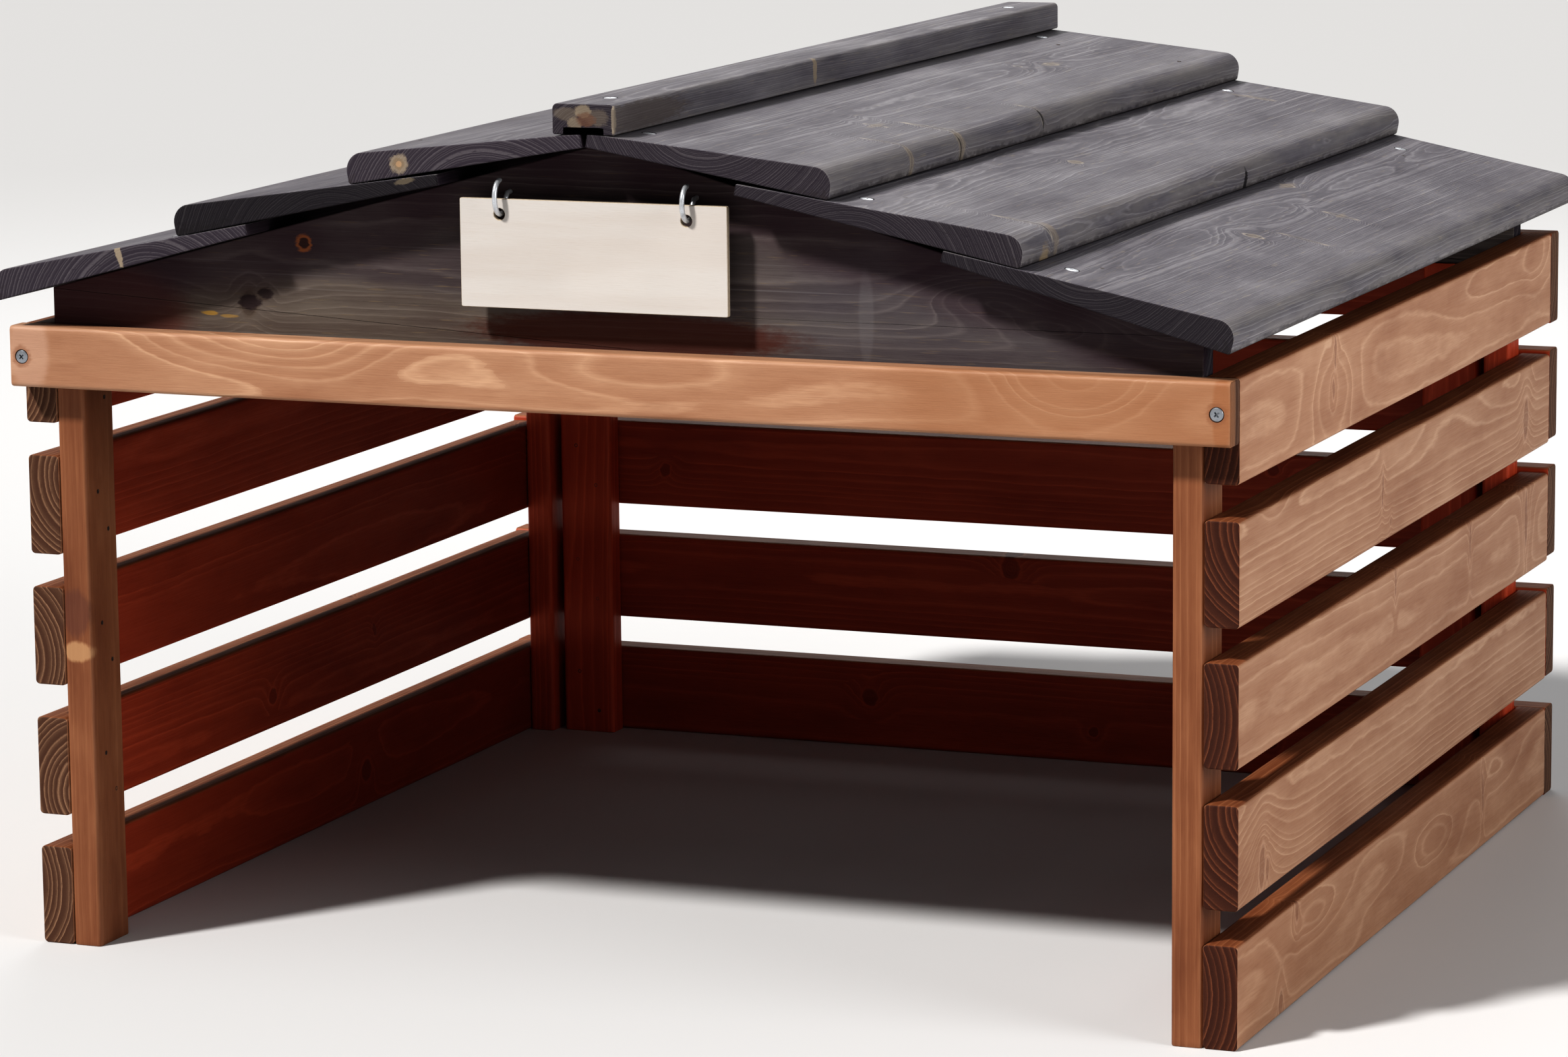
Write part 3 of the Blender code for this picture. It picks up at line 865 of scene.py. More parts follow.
def make_timber(
    name,
    corners,
    length,
    place,
    stain,
    slot,
    lengthwise="y",
    cutters=(),
    bend=0.0004,
    slant=0.0,
    steps=ROUND_STEPS,
    wear_reach=0.008,
    sheltered=0.0,
    dark_edge_corners=(),
    **changes,
):
    """One timber, which stands for the CAD node of the same name.

    corners is its outline in local X-Z, extruded along local Y by length, and place puts it in the frame.
    lengthwise says which local axis the grain follows. changes are to DEFAULT_LOOK, with places in the frame:
    knots (place, radius, stretch), eyes (place, (along, across), rise) and
    patches (place, (along, across[, depth]), colour, strength). pith is (side, depth, across) of the
    rings' centre.
    """
    look = {**DEFAULT_LOOK, **changes}
    chance = random.Random(name)
    pith_side, pith_depth, pith_across = look["pith"] or random_pith(chance)
    offset = chance.uniform(2, 40)
    inverse = place.inverted()

    def grain_of(point):
        x, y, z = point
        along, across, depth = (y, x, z) if lengthwise == "y" else (x, z, y)
        return (across - pith_across, along + offset, pith_depth + pith_side * depth)

    def grain_at(position):
        return grain_of(inverse @ Vector(position))

    look.update(marks_in_grain(look, grain_at))
    side = timber_material(f"{name}_side", stain, look, end=False)
    end = timber_material(f"{name}_end", stain, look, end=True)
    hole = HOLE_BROWN if stain is TERRACOTTA else HOLE_GREY

    builder = extruded(outline(corners, steps), length)
    along_axis = Vector((0, 1, 0)) if lengthwise == "y" else Vector((1, 0, 0))
    for face in builder.faces:
        face.material_index = 1 if abs(face.normal.dot(along_axis)) > END_FACE_COSINE else 0
    for vert in builder.verts:
        vert.co.y += vert.co.z * slant
    made = new_object(name + "_timber", builder, (side, end, hole))
    made.matrix_world = place
    if cutters:
        cut_away(made, [cutter() for cutter in cutters])

    mesh = made.data
    points = [vert.co.copy() for vert in mesh.vertices]
    write_vectors(mesh, "grain", [grain_of(point) for point in points])
    write_floats(mesh, "wear", [corner_closeness(point, corners, wear_reach) for point in points])
    write_floats(mesh, "dark_edge", [corner_closeness(point, dark_edge_corners, DARK_EDGE_REACH) for point in points])
    phase = chance.uniform(0, 100)
    for vert, point in zip(mesh.vertices, points):
        along = point.y * BENDS_PER_METRE + phase
        vert.co.x += bend * noise.noise((along, 0.3, 7.1))
        vert.co.z += bend * noise.noise((along, 5.2, 1.7))
    mesh.transform(place)
    made.matrix_world = Matrix.Identity(4)
    # Each point's share of painted shade.
    write_floats(mesh, "sheltered", painted_shade_share([vert.co for vert in mesh.vertices], sheltered))
    smooth(mesh)
    flatten_ends(mesh, place.col[1].xyz.normalized())
    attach(made, "shelter")
    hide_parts(name)


def axes_matrix(origin, local_x, local_y, local_z):
    made = Matrix.Identity(4)
    for column, axis in enumerate((local_x, local_y, local_z)):
        made.col[column].xyz = Vector(axis).normalized()
    made.translation = origin
    return made


def box_timber(name, **look):
    """A straight timber that fills the box of its CAD node, with its width, length and thickness by size."""
    low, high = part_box(name)
    size = high - low
    thin, wide, long = sorted(range(3), key=lambda axis: size[axis])
    axes = [Vector([float(axis == index) for index in range(3)]) for axis in (wide, long, thin)]
    if axes[0].cross(axes[1]).dot(axes[2]) < 0:
        axes[2].negate()
    origin = (low + high) / 2
    origin[long] = low[long]
    place = axes_matrix(origin, *axes)
    corners = rectangle(size[wide], size[thin], TIMBER_ROUND)
    make_timber(name, corners, size[long], place, TERRACOTTA, "base_timber", **look)


# ---------------------------------------------------------------- screws


def countersink(place, direction):
    """A function that makes the cutter of one screw head's seat."""

    def make():
        radius = SCREW_HEAD_RADIUS + FIT_GAP
        mouth = radius + 0.0004
        profile = [(0, 0.004), (mouth, 0.004), (mouth, 0.0003), (radius, -0.0006)]
        profile += [(0.0026, -0.0034), (0, -0.0034)]
        builder = lathe(profile, 24)
        for face in builder.faces:
            face.material_index = 2
        cutter = new_object("countersink", builder, (None, None, None))
        cutter.matrix_world = Matrix.Translation(place) @ aim(direction)
        return cutter

    return make


RECESS_REACH = 0.0024
RECESS_WIDTH = 0.0010
RECESS_LEVELS = ((0.001, 1.0), (-0.0016, 0.45))
WEDGE_FACES = ((0, 1, 2, 3), (7, 6, 5, 4), (0, 4, 5, 1), (1, 5, 6, 2), (2, 6, 7, 3), (3, 7, 4, 0))


def recess_cutter():
    """The cross recess of a screw head: two crossed wedges."""
    builder = bmesh.new()
    for turn in (0, pi / 2):
        verts = []
        for z, shrink in RECESS_LEVELS:
            for a, b in SQUARE:
                point = Vector((a * RECESS_REACH * shrink, b * RECESS_WIDTH / 2, z))
                verts.append(builder.verts.new(Matrix.Rotation(turn, 3, "Z") @ point))
        for loop in WEDGE_FACES:
            builder.faces.new([verts[index] for index in loop])
    bmesh.ops.recalc_face_normals(builder, faces=builder.faces[:])
    return new_object("recess", builder, (ZINC,))


def screw_mesh():
    """A countersunk head with its recess, and a stub of shank. The head's face is at local z 0."""
    rim = SCREW_HEAD_RADIUS
    dome = [(0, 0.0004), (rim * 0.6, 0.00034), (rim - 0.0003, 0.0001), (rim, -0.0002)]
    shank = [(rim - 0.0001, -0.0006), (0.0022, -0.0028), (0.0021, -0.012), (0, -0.012)]
    made = new_object("screw", lathe(dome + shank), (ZINC,))
    cut_away(made, [recess_cutter()], crossed=True)
    mesh = made.data
    smooth(mesh, 30)
    bpy.data.objects.remove(made, do_unlink=True)
    return mesh


SCREW_MESH = screw_mesh()


def screw(name, place, direction, material=None):
    """A screw head, flush with the wood, and the cutter that seats it."""
    inward = Vector(direction).normalized()
    seat = Vector(place)
    made = linked(name + "_head", SCREW_MESH.copy())
    turn = Matrix.Rotation(random.Random(name).uniform(0, pi), 4, "Z")
    made.data.transform(Matrix.Translation(seat + inward * SCREW_SINK) @ aim(inward) @ turn)
    if material:
        made.data.materials[0] = material
    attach(made, "shelter")
    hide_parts(name)
    return countersink(seat, inward)


BRAD_PROFILE = (
    (0, 0.00002),
    (0.0009, 0.00002),
    (BRAD_RADIUS, 0.00012),
    (0.0016, 0.00005),
    (0.0017, -0.0006),
    (0, -0.0006),
)


def brads(name, places):
    """Small nail heads at (place, inward direction), each with a low collar of stain round it."""
    builder = bmesh.new()
    for place, direction in places:
        one = lathe(BRAD_PROFILE, 12)
        one.transform(Matrix.Translation(place) @ aim(direction))
        mesh = bpy.data.meshes.new("one_brad")
        one.to_mesh(mesh)
        one.free()
        builder.from_mesh(mesh)
        bpy.data.meshes.remove(mesh)
    made = new_object(name, builder, (BRAD,))
    smooth(made.data, 30)
    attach(made, "shelter")


# ---------------------------------------------------------------- walls


PALE_PATCH = (0.62, 0.45, 0.30)
DARK_PATCH = (0.22, 0.115, 0.095)

# Each right slat's eyes (y, z, half length, half width, rise) and knots (y, z, radius, stretch).
RIGHT_SLATS = {
    1: {
        "eyes": [
            (-0.201, 0.398, 0.060, 0.030, 0.017),
            (0.230, 0.420, 0.170, 0.018, 0.010),
            (0.345, 0.425, 0.040, 0.030, 0.007),
        ],
        "knots": [(-0.200, 0.400, 0.0030, 2.4), (-0.196, 0.425, 0.0026, 4.5)],
    },
    2: {
        "eyes": [(-0.335, 0.345, 0.045, 0.012, 0.007), (0.10, 0.335, 0.12, 0.020, 0.008)],
        "knots": [(-0.077, 0.313, 0.0026, 3.8), (-0.055, 0.288, 0.0018, 1.0), (0.319, 0.305, 0.0070, 1.5)],
    },
    3: {
        "eyes": [(0.020, 0.262, 0.345, 0.030, 0.0085), (0.325, 0.225, 0.025, 0.030, 0.008)],
        "knots": [(-0.042, 0.245, 0.0022, 5.5), (0.159, 0.240, 0.0026, 6.0), (0.323, 0.228, 0.0044, 5.0)],
    },
    4: {
        "eyes": [(-0.358, 0.122, 0.045, 0.030, 0.016)],
        "knots": [(-0.358, 0.110, 0.0060, 1.4), (-0.346, 0.106, 0.0035, 1.2)],
    },
    5: {
        "eyes": [
            (-0.235, 0.050, 0.075, 0.016, 0.012),
            (0.066, 0.036, 0.075, 0.020, 0.015),
            (-0.060, 0.018, 0.070, 0.014, 0.008),
            (0.24, 0.050, 0.070, 0.016, 0.008),
        ],
        "knots": [(-0.278, 0.063, 0.0035, 2.2), (-0.314, 0.008, 0.0048, 1.8), (0.203, 0.041, 0.0030, 5.0)],
    },
}


def right_slat_look(number):
    """The stated eyes and knots of one right slat, placed on its outer face."""
    marks = RIGHT_SLATS[number]
    outer_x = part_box(f"right_slat_{number}")[1].x
    return {
        "eyes": [((outer_x, y, z), (along, across), rise) for y, z, along, across, rise in marks["eyes"]],
        "knots": [((outer_x, y, z), radius, stretch) for y, z, radius, stretch in marks["knots"]],
    }


# The right slats' tones. Some were sawn far from the pith, so their rings lie nearly flat, and some near it.
SLAT_TONES = {1: 1.06, 2: 0.97, 3: 0.98, 4: 0.96, 5: 1.0}
FAR_PITH = (-1, 0.085, 0.0)
NEAR_PITH = (1, 0.045, 0.03)
SLAT_PITHS = {1: FAR_PITH, 2: NEAR_PITH, 3: FAR_PITH, 4: NEAR_PITH, 5: FAR_PITH}


def walls():
    for number in range(1, 6):
        # Painted shade: each right slat's inner side takes the shade tint towards the inside, and its top and
        # bottom faces take extra coats as if shaded in the gaps.
        box_timber(
            f"right_slat_{number}",
            sheltered=(-1, 0, 0),
            tone=SLAT_TONES[number],
            share=0.0,
            wander=0.006,
            pith=SLAT_PITHS[number],
            knot_depth=0.6,
            edge_coats=0.7,
            end_tint=(0.63, 0.37, 0.27),
            **right_slat_look(number),
        )
        # Painted shade as on the right slats: inner sides tinted, top and bottom faces darkened.
        plain = {"wander": 0.010, "edge_coats": 0.7}
        box_timber(f"left_slat_{number}", sheltered=(1, 0, 0), share=0.12, **plain)
        box_timber(f"back_slat_{number}", sheltered=(0, -1, 0), share=0.2, tone=1.12, **plain)
    left_patches = [
        ((-0.4010, -0.41, 0.2085), (0.0075, 0.014), PALE_PATCH, 0.7),
        ((-0.4020, -0.41, 0.236), (0.017, 0.013), DARK_PATCH, 0.5),
    ]
    box_timber("front_left_post", coats=1.55, share=0.05, wander=0.004, figure=0.4, patches=left_patches)
    box_timber("front_right_post", coats=1.55, share=0.05, wander=0.004, figure=0.6)
    for side in ("left", "right"):
        # Painted shade all over the rear posts and battens: the full shade tint, brightened by tone.
        box_timber(f"rear_{side}_post", tone=1.5, sheltered=1.0, share=0.1)
        box_timber(f"back_{side}_batten", tone=1.6, sheltered=1.0, share=0.1)


# Brads any higher would sit at the very tops of the posts and battens.
BRADS_BELOW = 0.40


def wall_brads():
    """Two brads, one above the other and a little aside, hold each slat at each upright."""
    side_bottoms = [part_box(f"right_slat_{number}")[0].z for number in range(1, 6)]
    back_bottoms = [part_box(f"back_slat_{number}")[0].z for number in range(1, 6)]
    post_low, post_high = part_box("front_right_post")
    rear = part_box("rear_right_post")[0].y
    batten_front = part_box("back_right_batten")[0].y
    inner_x = (post_low.x + post_high.x) / 2 - 0.0105
    on_posts = (
        (post_low.y + 0.016, 0.043),
        (post_low.y + 0.029, 0.015),
        (rear + 0.010, 0.043),
        (rear + 0.018, 0.015),
    )
    on_battens = ((0.370, 0.050), (0.353, 0.018))
    for side, sign in (("left", -1), ("right", 1)):
        places = []
        for bottom in side_bottoms:
            for y, up in on_posts:
                places.append(((sign * inner_x, y, bottom + up), (sign, 0, 0)))
        brads(f"{side}_post_brads", [place for place in places if place[0][2] < BRADS_BELOW])
        places = []
        for bottom in back_bottoms:
            for x, up in on_battens:
                places.append(((sign * x, batten_front, bottom + up), (0, 1, 0)))
        brads(f"{side}_batten_brads", [place for place in places if place[0][2] < BRADS_BELOW])


RAIL_SCREW_X = 0.426


def front_rail():
    low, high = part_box("front_rail")
    height = (low.z + high.z) / 2
    seats = []
    patches = [
        ((-0.4205, low.y, height + 0.004), (0.016, 0.030), (0.47, 0.30, 0.22), 0.55),
        ((0.429, low.y, height), (0.006, 0.030), (0.30, 0.12, 0.05), 0.8),
        ((0.370, low.y, height), (0.180, 0.060), (0.29, 0.135, 0.065), 0.58),
    ]
    for side, sign in (("left", -1), ("right", 1)):
        place = (sign * RAIL_SCREW_X, low.y, height)
        # The rail screws take the darker, painted-shade copy of the zinc.
        seats.append(screw(f"rail_{side}_screw", place, (0, 1, 0), ZINC_SHADED))
        patches.append((place, (0.0075, 0.0075), (0.23, 0.095, 0.045), 0.55))
    # Half eyes on the top edge at both sides, and a whole one near the middle.
    eyes = [
        ((-0.216, low.y, 0.437), (0.060, 0.024), 0.0170),
        ((-0.290, low.y, 0.436), (0.055, 0.020), 0.0080),
        ((0.033, low.y, 0.426), (0.080, 0.016), 0.0095),
        ((0.330, low.y, 0.433), (0.050, 0.026), 0.0210),
        ((-0.120, low.y, 0.386), (0.100, 0.020), 0.0060),
        ((0.200, low.y, 0.388), (0.130, 0.016), 0.0055),
    ]
    box_timber(
        "front_rail",
        cutters=seats,
        pith=(1, 0.110, 0.0),
        share=0.0,
        wander=0.004,
        tilt=0.012,
        eyes=eyes,
        patches=patches,
        worn=0.35,
    )


# ---------------------------------------------------------------- roof


def gable_top(x):
    return GABLE_APEX_HEIGHT - abs(x) * tan(ROOF_PITCH)


def thickness_at(from_nose):
    return BOARD_THICK_EDGE - from_nose * tan(BOARD_TAPER)


def board_width(number):
    return TOP_BOARD_WIDTH if number == 1 else BOARD_WIDTH


def board_angles():
    """Slope of each board's underside, as in the CAD model: each rests on the board below it."""
    angles = {3: ROOF_PITCH}
    for number in (2, 1):
        below = angles[number + 1]
        top_slope = below - BOARD_TAPER
        below_x = BOARD_INNER_X[number + 1]
        edge = Vector((sin(below), cos(below))) * thickness_at(BOARD_WIDTH)
        below_top = Vector((below_x, gable_top(below_x))) + edge
        here = Vector((BOARD_INNER_X[number], gable_top(BOARD_INNER_X[number])))
        height = (here - below_top).dot(Vector((sin(top_slope), cos(top_slope))))
        angles[number] = top_slope - asin((FIT_GAP - height) / board_width(number))
    return angles


ANGLES = board_angles()


def board_top_height(number, x):
    angle = ANGLES[number]
    inner_x = BOARD_INNER_X[number]
    edge = thickness_at(board_width(number))
    start_x = inner_x + edge * sin(angle)
    start_z = gable_top(inner_x) + edge * cos(angle)
    return start_z - (x - start_x) * tan(angle - BOARD_TAPER)


PALE_GREY = (0.27, 0.22, 0.16)
OCHRE = (0.34, 0.26, 0.15)
NEAR_BLACK = (0.010, 0.008, 0.010)

# What is particular to one board, by side and number from the ridge, in the frame.
ROOF_MARKS = {
    ("right", 1): {
        "end_tint": (1.05, 1.05, 1.05),
        "eyes": [
            ((0.0908, 0.225, 0.572), (0.050, 0.016), 0.0060),
            ((0.1323, -0.2671, 0.5677), (0.040, 0.010), 0.0050),
            ((0.1701, 0.080, 0.5580), (0.120, 0.007), 0.0035),
        ],
        "knots": [
            ((0.0908, 0.225, 0.5721), 0.0040, 1.2),
            ((0.0780, 0.185, 0.5735), 0.0030, 1.0),
            ((0.1187, -0.2199, 0.5691), 0.0022, 2.5),
            ((0.1701, -0.1934, 0.5552), 0.0030, 4.0),
            ((0.1701, -0.2913, 0.5537), 0.0020, 4.0),
            ((0.1701, -0.0264, 0.5620), 0.0020, 3.0),
        ],
        "patches": [
            ((0.0908, 0.2250, 0.5721), (0.0140, 0.0060), PALE_GREY, 0.30),
            ((0.1187, -0.2199, 0.5691), (0.0160, 0.0035), PALE_GREY, 0.30),
            ((0.1701, -0.1934, 0.5560), (0.0070, 0.0090), PALE_GREY, 0.45),
            ((0.1701, -0.2913, 0.5545), (0.0045, 0.0080), PALE_GREY, 0.40),
            ((0.1701, -0.1960, 0.5530), (0.0012, 0.0070), NEAR_BLACK, 0.75),
            ((0.1701, -0.0264, 0.5600), (0.0022, 0.0060), NEAR_BLACK, 0.75),
        ],
    },
    ("right", 2): {
        "end_tint": (0.9, 0.9, 0.9),
        "eyes": [
            ((0.2300, -0.140, 0.535), (0.060, 0.014), 0.0045),
            ((0.180, 0.120, 0.541), (0.090, 0.012), 0.0050),
        ],
        "knots": [
            ((0.2213, -0.1031, 0.5356), 0.0032, 1.3),
            ((0.2116, 0.3660, 0.5370), 0.0020, 5.0),
            ((0.2850, -0.3800, 0.5260), 0.0022, 6.0),
        ],
        "patches": [
            ((0.2213, -0.1031, 0.5356), (0.0090, 0.0045), PALE_GREY, 0.35),
            ((0.2060, 0.3600, 0.5375), (0.0040, 0.0200), PALE_GREY, 0.35),
            ((0.2970, -0.3740, 0.5170), (0.0055, 0.0120), PALE_GREY, 0.45),
            ((0.2990, 0.0386, 0.5068), (0.0040, 0.006), NEAR_BLACK, 0.95),
            ((0.2960, -0.3950, 0.5045), (0.0110, 0.006), OCHRE, 0.55),
        ],
    },
    ("right", 3): {
        "end_tint": (0.65, 0.65, 0.65),
        "eyes": [
            ((0.3450, -0.120, 0.494), (0.060, 0.018), 0.0055),
            ((0.3150, 0.110, 0.5005), (0.045, 0.012), 0.0045),
        ],
        "knots": [
            ((0.3580, -0.1295, 0.4920), 0.0042, 1.4),
            ((0.3133, 0.0988, 0.5008), 0.0034, 1.2),
            ((0.3739, 0.0283, 0.4888), 0.0028, 3.0),
            ((0.3839, -0.0967, 0.4868), 0.0020, 5.0),
        ],
        "patches": [
            ((0.3580, -0.1295, 0.4920), (0.0080, 0.0045), PALE_GREY, 0.35),
            ((0.3133, 0.0988, 0.5008), (0.0160, 0.0040), PALE_GREY, 0.35),
            ((0.3739, 0.0283, 0.4888), (0.0100, 0.0025), PALE_GREY, 0.35),
        ],
    },
    ("left", 1): {
        "end_tint": (1.35, 1.35, 1.35),
        "ring_scale": 1.35,
        "patches": [
            ((-0.1331, -0.44, 0.5579), (0.006, 0.0070, 0.0065), PALE_GREY, 0.6),
            ((-0.1331, -0.44, 0.5579), (0.006, 0.0042, 0.0040), (0.15, 0.105, 0.065), 0.6),
            ((-0.1331, -0.44, 0.5579), (0.006, 0.0022, 0.0020), (0.33, 0.21, 0.12), 0.6),
        ],
    },
    ("left", 2): {
        "end_tint": (0.45, 0.45, 0.45),
        "patches": [((-0.1290, -0.44, 0.5465), (0.006, 0.0075, 0.0019), PALE_GREY, 0.9)],
    },
    ("left", 3): {
        "end_tint": (1.35, 1.35, 1.35),
        "ring_scale": 1.5,
        "patches": [((-0.3437, -0.44, 0.4924), (0.006, 0.0024, 0.0120), PALE_GREY, 0.7)],
    },
}


def in_the_gap(number):
    """A test for the thin inner edge of a board, where the board above casts shade: there the stain's shade
    tint paints it.
    """
    return lambda point: abs(point.x) < BOARD_INNER_X[number] + 0.003


def into_board(number, sign):
    """The direction square into a board's upper face."""
    slope = ANGLES[number] - BOARD_TAPER
    return (-sign * sin(slope), 0, -cos(slope))


# Each board's screws: their distance from the ridge, and how far behind the walls' front each one is.
ROOF_SCREW_X = {1: 0.029, 2: 0.182, 3: 0.3195}
ROOF_SCREW_Y = {"front": {1: 0.0105, 2: 0.007, 3: 0.0125}, "rear": {1: 0.791, 2: 0.785, 3: 0.788}}


def roof_boards():
    for number in (1, 2, 3):
        width = board_width(number)
        for side, sign in (("left", -1), ("right", 1)):
            seats = []
            x = ROOF_SCREW_X[number]
            for end, distances in ROOF_SCREW_Y.items():
                place = (sign * x, WALL_FRONT + distances[number], board_top_height(number, x))
                seats.append(screw(f"roof_{side}_{end}_screw_{number}", place, into_board(number, sign)))
            corners = [
                (0, 0, 0.0006),
                (width, 0, 0.002),
                (width, BOARD_THICK_EDGE, BOARD_NOSE_ROUND),
                (0, thickness_at(width), 0.0008),
            ]
            if sign < 0:
                corners = [(-x, z, radius) for x, z, radius in reversed(corners)]
            origin = (sign * BOARD_INNER_X[number], ROOF_FRONT, gable_top(BOARD_INNER_X[number]))
            place = Matrix.Translation(origin) @ Matrix.Rotation(sign * ANGLES[number], 4, "Y")
            pith = (random.Random(f"{side}{number}").choice((-1, 1)), 0.055, sign * width * 0.45)
            make_timber(
                f"roof_{side}_board_{number}",
                corners,
                ROOF_LENGTH,
                place,
                ANTHRACITE,
                "roof_timber",
                pith=pith,
                cutters=seats,
                share=0.3 if side == "left" else 0.0,
                steps=9,
                wear_reach=0.024,
                # The lower outer corner below the nose is darker.
                dark_edge_corners=[(sign * width, 0)],
                knot_depth=0.4,
                worn=0.7,
                # Painted shade: the underside takes extra coats.
                under_coats=1.2,
                wander=0.012,
                # Painted shade on the thin inner edge under the board above.
                sheltered=in_the_gap(number),
                **ROOF_MARKS[side, number],
            )


# Each brad's distance from the ridge and from the walls' front or rear, and its board's number.
ROOF_BRADS = ((0.054, 0.043, 1), (0.153, 0.046, 1), (0.197, 0.038, 2), (0.33, 0.041, 3))


def roof_brads():
    """Brads that hold the boards to the rafters."""
    for side, sign in (("left", -1), ("right", 1)):
        places = []
        for x, from_wall, number in ROOF_BRADS:
            for y in (WALL_FRONT + from_wall, WALL_REAR - from_wall):
                places.append(((sign * x, y, board_top_height(number, x)), into_board(number, sign)))
        brads(f"{side}_roof_brads", places)


def ridge_batten():
    low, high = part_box("ridge_batten")
    half = (high.x - low.x) / 2
    height = high.z - low.z
    groove = RIDGE_GROOVE_WIDTH / 2
    corners = [
        (-half, 0, 0.0015),
        (-groove, 0, 0.0003),
        (-groove, RIDGE_GROOVE_DEPTH, 0),
        (groove, RIDGE_GROOVE_DEPTH, 0),
        (groove, 0, 0.0003),
        (half, 0, 0.0015),
        (half, height, 0.0035),
        (-half, height, 0.0035),
    ]
    seats = []
    for end, distance in (("front", 0.0145), ("rear", 0.7955)):
        seats.append(screw(f"ridge_{end}_screw", (0, WALL_FRONT + distance, high.z), (0, 0, -1)))
    place = Matrix.Translation((0, low.y, low.z))
    make_timber(
        "ridge_batten",
        corners,
        ROOF_LENGTH,
        place,
        ANTHRACITE,
        "roof_timber",
        pith=(1, 0.02, 0.012),
        cutters=seats,
        share=0.0,
        # Painted shade: the underside takes extra coats.
        under_coats=1.0,
        patches=[
            ((-0.0120, low.y, 0.5940), (0.006, 0.0090, 0.0045), PALE_GREY, 0.28),
            ((-0.0060, low.y, 0.5870), (0.006, 0.0050, 0.0050), PALE_GREY, 0.55),
            ((0.0000, low.y, 0.5960), (0.006, 0.0060, 0.0045), PALE_GREY, 0.65),
            ((0.0100, low.y, 0.5920), (0.006, 0.0080, 0.0060), PALE_GREY, 0.25),
            ((0.0020, low.y, 0.5905), (0.006, 0.0070, 0.0050), (0.13, 0.066, 0.042), 0.7),
            ((0.0212, low.y, 0.5910), (0.004, 0.0014, 0.0100), (0.42, 0.36, 0.28), 0.8),
            ((0.0220, -0.0854, 0.5936), (0.004, 0.0060, 0.0110), PALE_GREY, 0.85),
            ((0.0220, -0.4000, 0.5905), (0.080, 0.0030, 0.0100), (0.085, 0.066, 0.056), 0.6),
        ],
    )


RESIN = (0.36, 0.22, 0.05)
ORANGE_RING = (0.27, 0.095, 0.035)
GABLE_DARK = (0.022, 0.012, 0.015)
SHADE_PURPLE = (0.036, 0.015, 0.023)


def gable_shade():
    """Painted shade under the roof: dark purple patches that follow both slopes."""
    patches = []
    for step in range(-4, 5):
        x = step * 0.095
        patches.append(((x, WALL_FRONT, gable_top(x) + 0.012), (0.085, 0.050), SHADE_PURPLE, 0.5))
    return patches


def gable_marks():
    return {
        "share": 0.0,
        "knots": [
            ((-0.2610, WALL_FRONT, 0.4570), 0.0058, 1.3),
            ((-0.2500, WALL_FRONT, 0.4635), 0.0036, 1.0),
        ],
        "eyes": [
            ((0.2700, WALL_FRONT, 0.4800), (0.045, 0.014), 0.0180),
            ((0.3150, WALL_FRONT, 0.4640), (0.040, 0.012), 0.0150),
            ((-0.2580, WALL_FRONT, 0.4600), (0.040, 0.014), -0.0060),
        ],
        "patches": [
            ((0.270, WALL_FRONT, 0.468), (0.150, 0.060), (0.074, 0.069, 0.088), 0.32),
            ((-0.210, WALL_FRONT, 0.450), (0.150, 0.026), (0.125, 0.093, 0.062), 0.3),
            # Painted reflected light: the red that the rail throws onto the gable's left end.
            ((-0.375, WALL_FRONT, 0.445), (0.070, 0.040), (0.090, 0.020, 0.013), 0.65),
            ((0.1838, WALL_FRONT, 0.4651), (0.0055, 0.032), (0.15, 0.14, 0.145), 0.30),
            # Painted shadow of the plate on the gable, reddened by light from the rail.
            ((0.020, WALL_FRONT, 0.447), (0.120, 0.015), (0.070, 0.017, 0.010), 0.8),
            # Painted shade under the roof's overhang.
            *gable_shade(),
            ((-0.2194, WALL_FRONT, 0.4989), (0.0062, 0.0062), ORANGE_RING, 0.85),
            ((-0.2194, WALL_FRONT, 0.4989), (0.0040, 0.0040), GABLE_DARK, 0.9),
            ((-0.2605, WALL_FRONT, 0.4575), (0.0090, 0.0055), GABLE_DARK, 0.85),
            ((-0.2485, WALL_FRONT, 0.4640), (0.0060, 0.0040), GABLE_DARK, 0.75),
            ((-0.2914, WALL_FRONT, 0.4491), (0.006, 0.0015), RESIN, 0.8),
            ((-0.2760, WALL_FRONT, 0.4475), (0.007, 0.0012), RESIN, 0.5),
        ],
    }


def gables():
    for name in ("front_gable", "rear_gable"):
        low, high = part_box(name)
        half = high.x
        corners = [
            (-half, low.z, 0.0006),
            (half, low.z, 0.0006),
            (half, gable_top(half) - FIT_GAP, 0.0006),
            (0, high.z, 0.0),
            (-half, gable_top(half) - FIT_GAP, 0.0006),
        ]
        place = Matrix.Translation((0, low.y, 0))
        make_timber(
            name,
            corners,
            high.y - low.y,
            place,
            GABLE,
            "roof_timber",
            lengthwise="x",
            pith=(1, 0.075, 0.50),
            bend=0.0,
            **(gable_marks() if name == "front_gable" else {}),
        )


def rafters():
    drop = RAFTER_THICKNESS / cos(ROOF_PITCH)
    for end in ("front", "rear"):
        for side, sign in (("left", -1), ("right", 1)):
            name = f"{end}_{side}_rafter"
            low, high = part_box(name)
            length = (high.x - low.x) / cos(ROOF_PITCH)
            inner = min(abs(low.x), abs(high.x))
            origin = Vector((sign * inner, (low.y + high.y) / 2, high.z - drop / 2))
            down = Vector((sign * cos(ROOF_PITCH), 0, -sin(ROOF_PITCH)))
            up = Vector((sign * sin(ROOF_PITCH), 0, cos(ROOF_PITCH)))
            place = axes_matrix(origin, down.cross(up), down, up)
            corners = rectangle(RAFTER_WIDTH, RAFTER_THICKNESS, 0.002)
            make_timber(name, corners, length, place, ANTHRACITE, "roof_timber", slant=tan(ROOF_PITCH))


# ---------------------------------------------------------------- sign


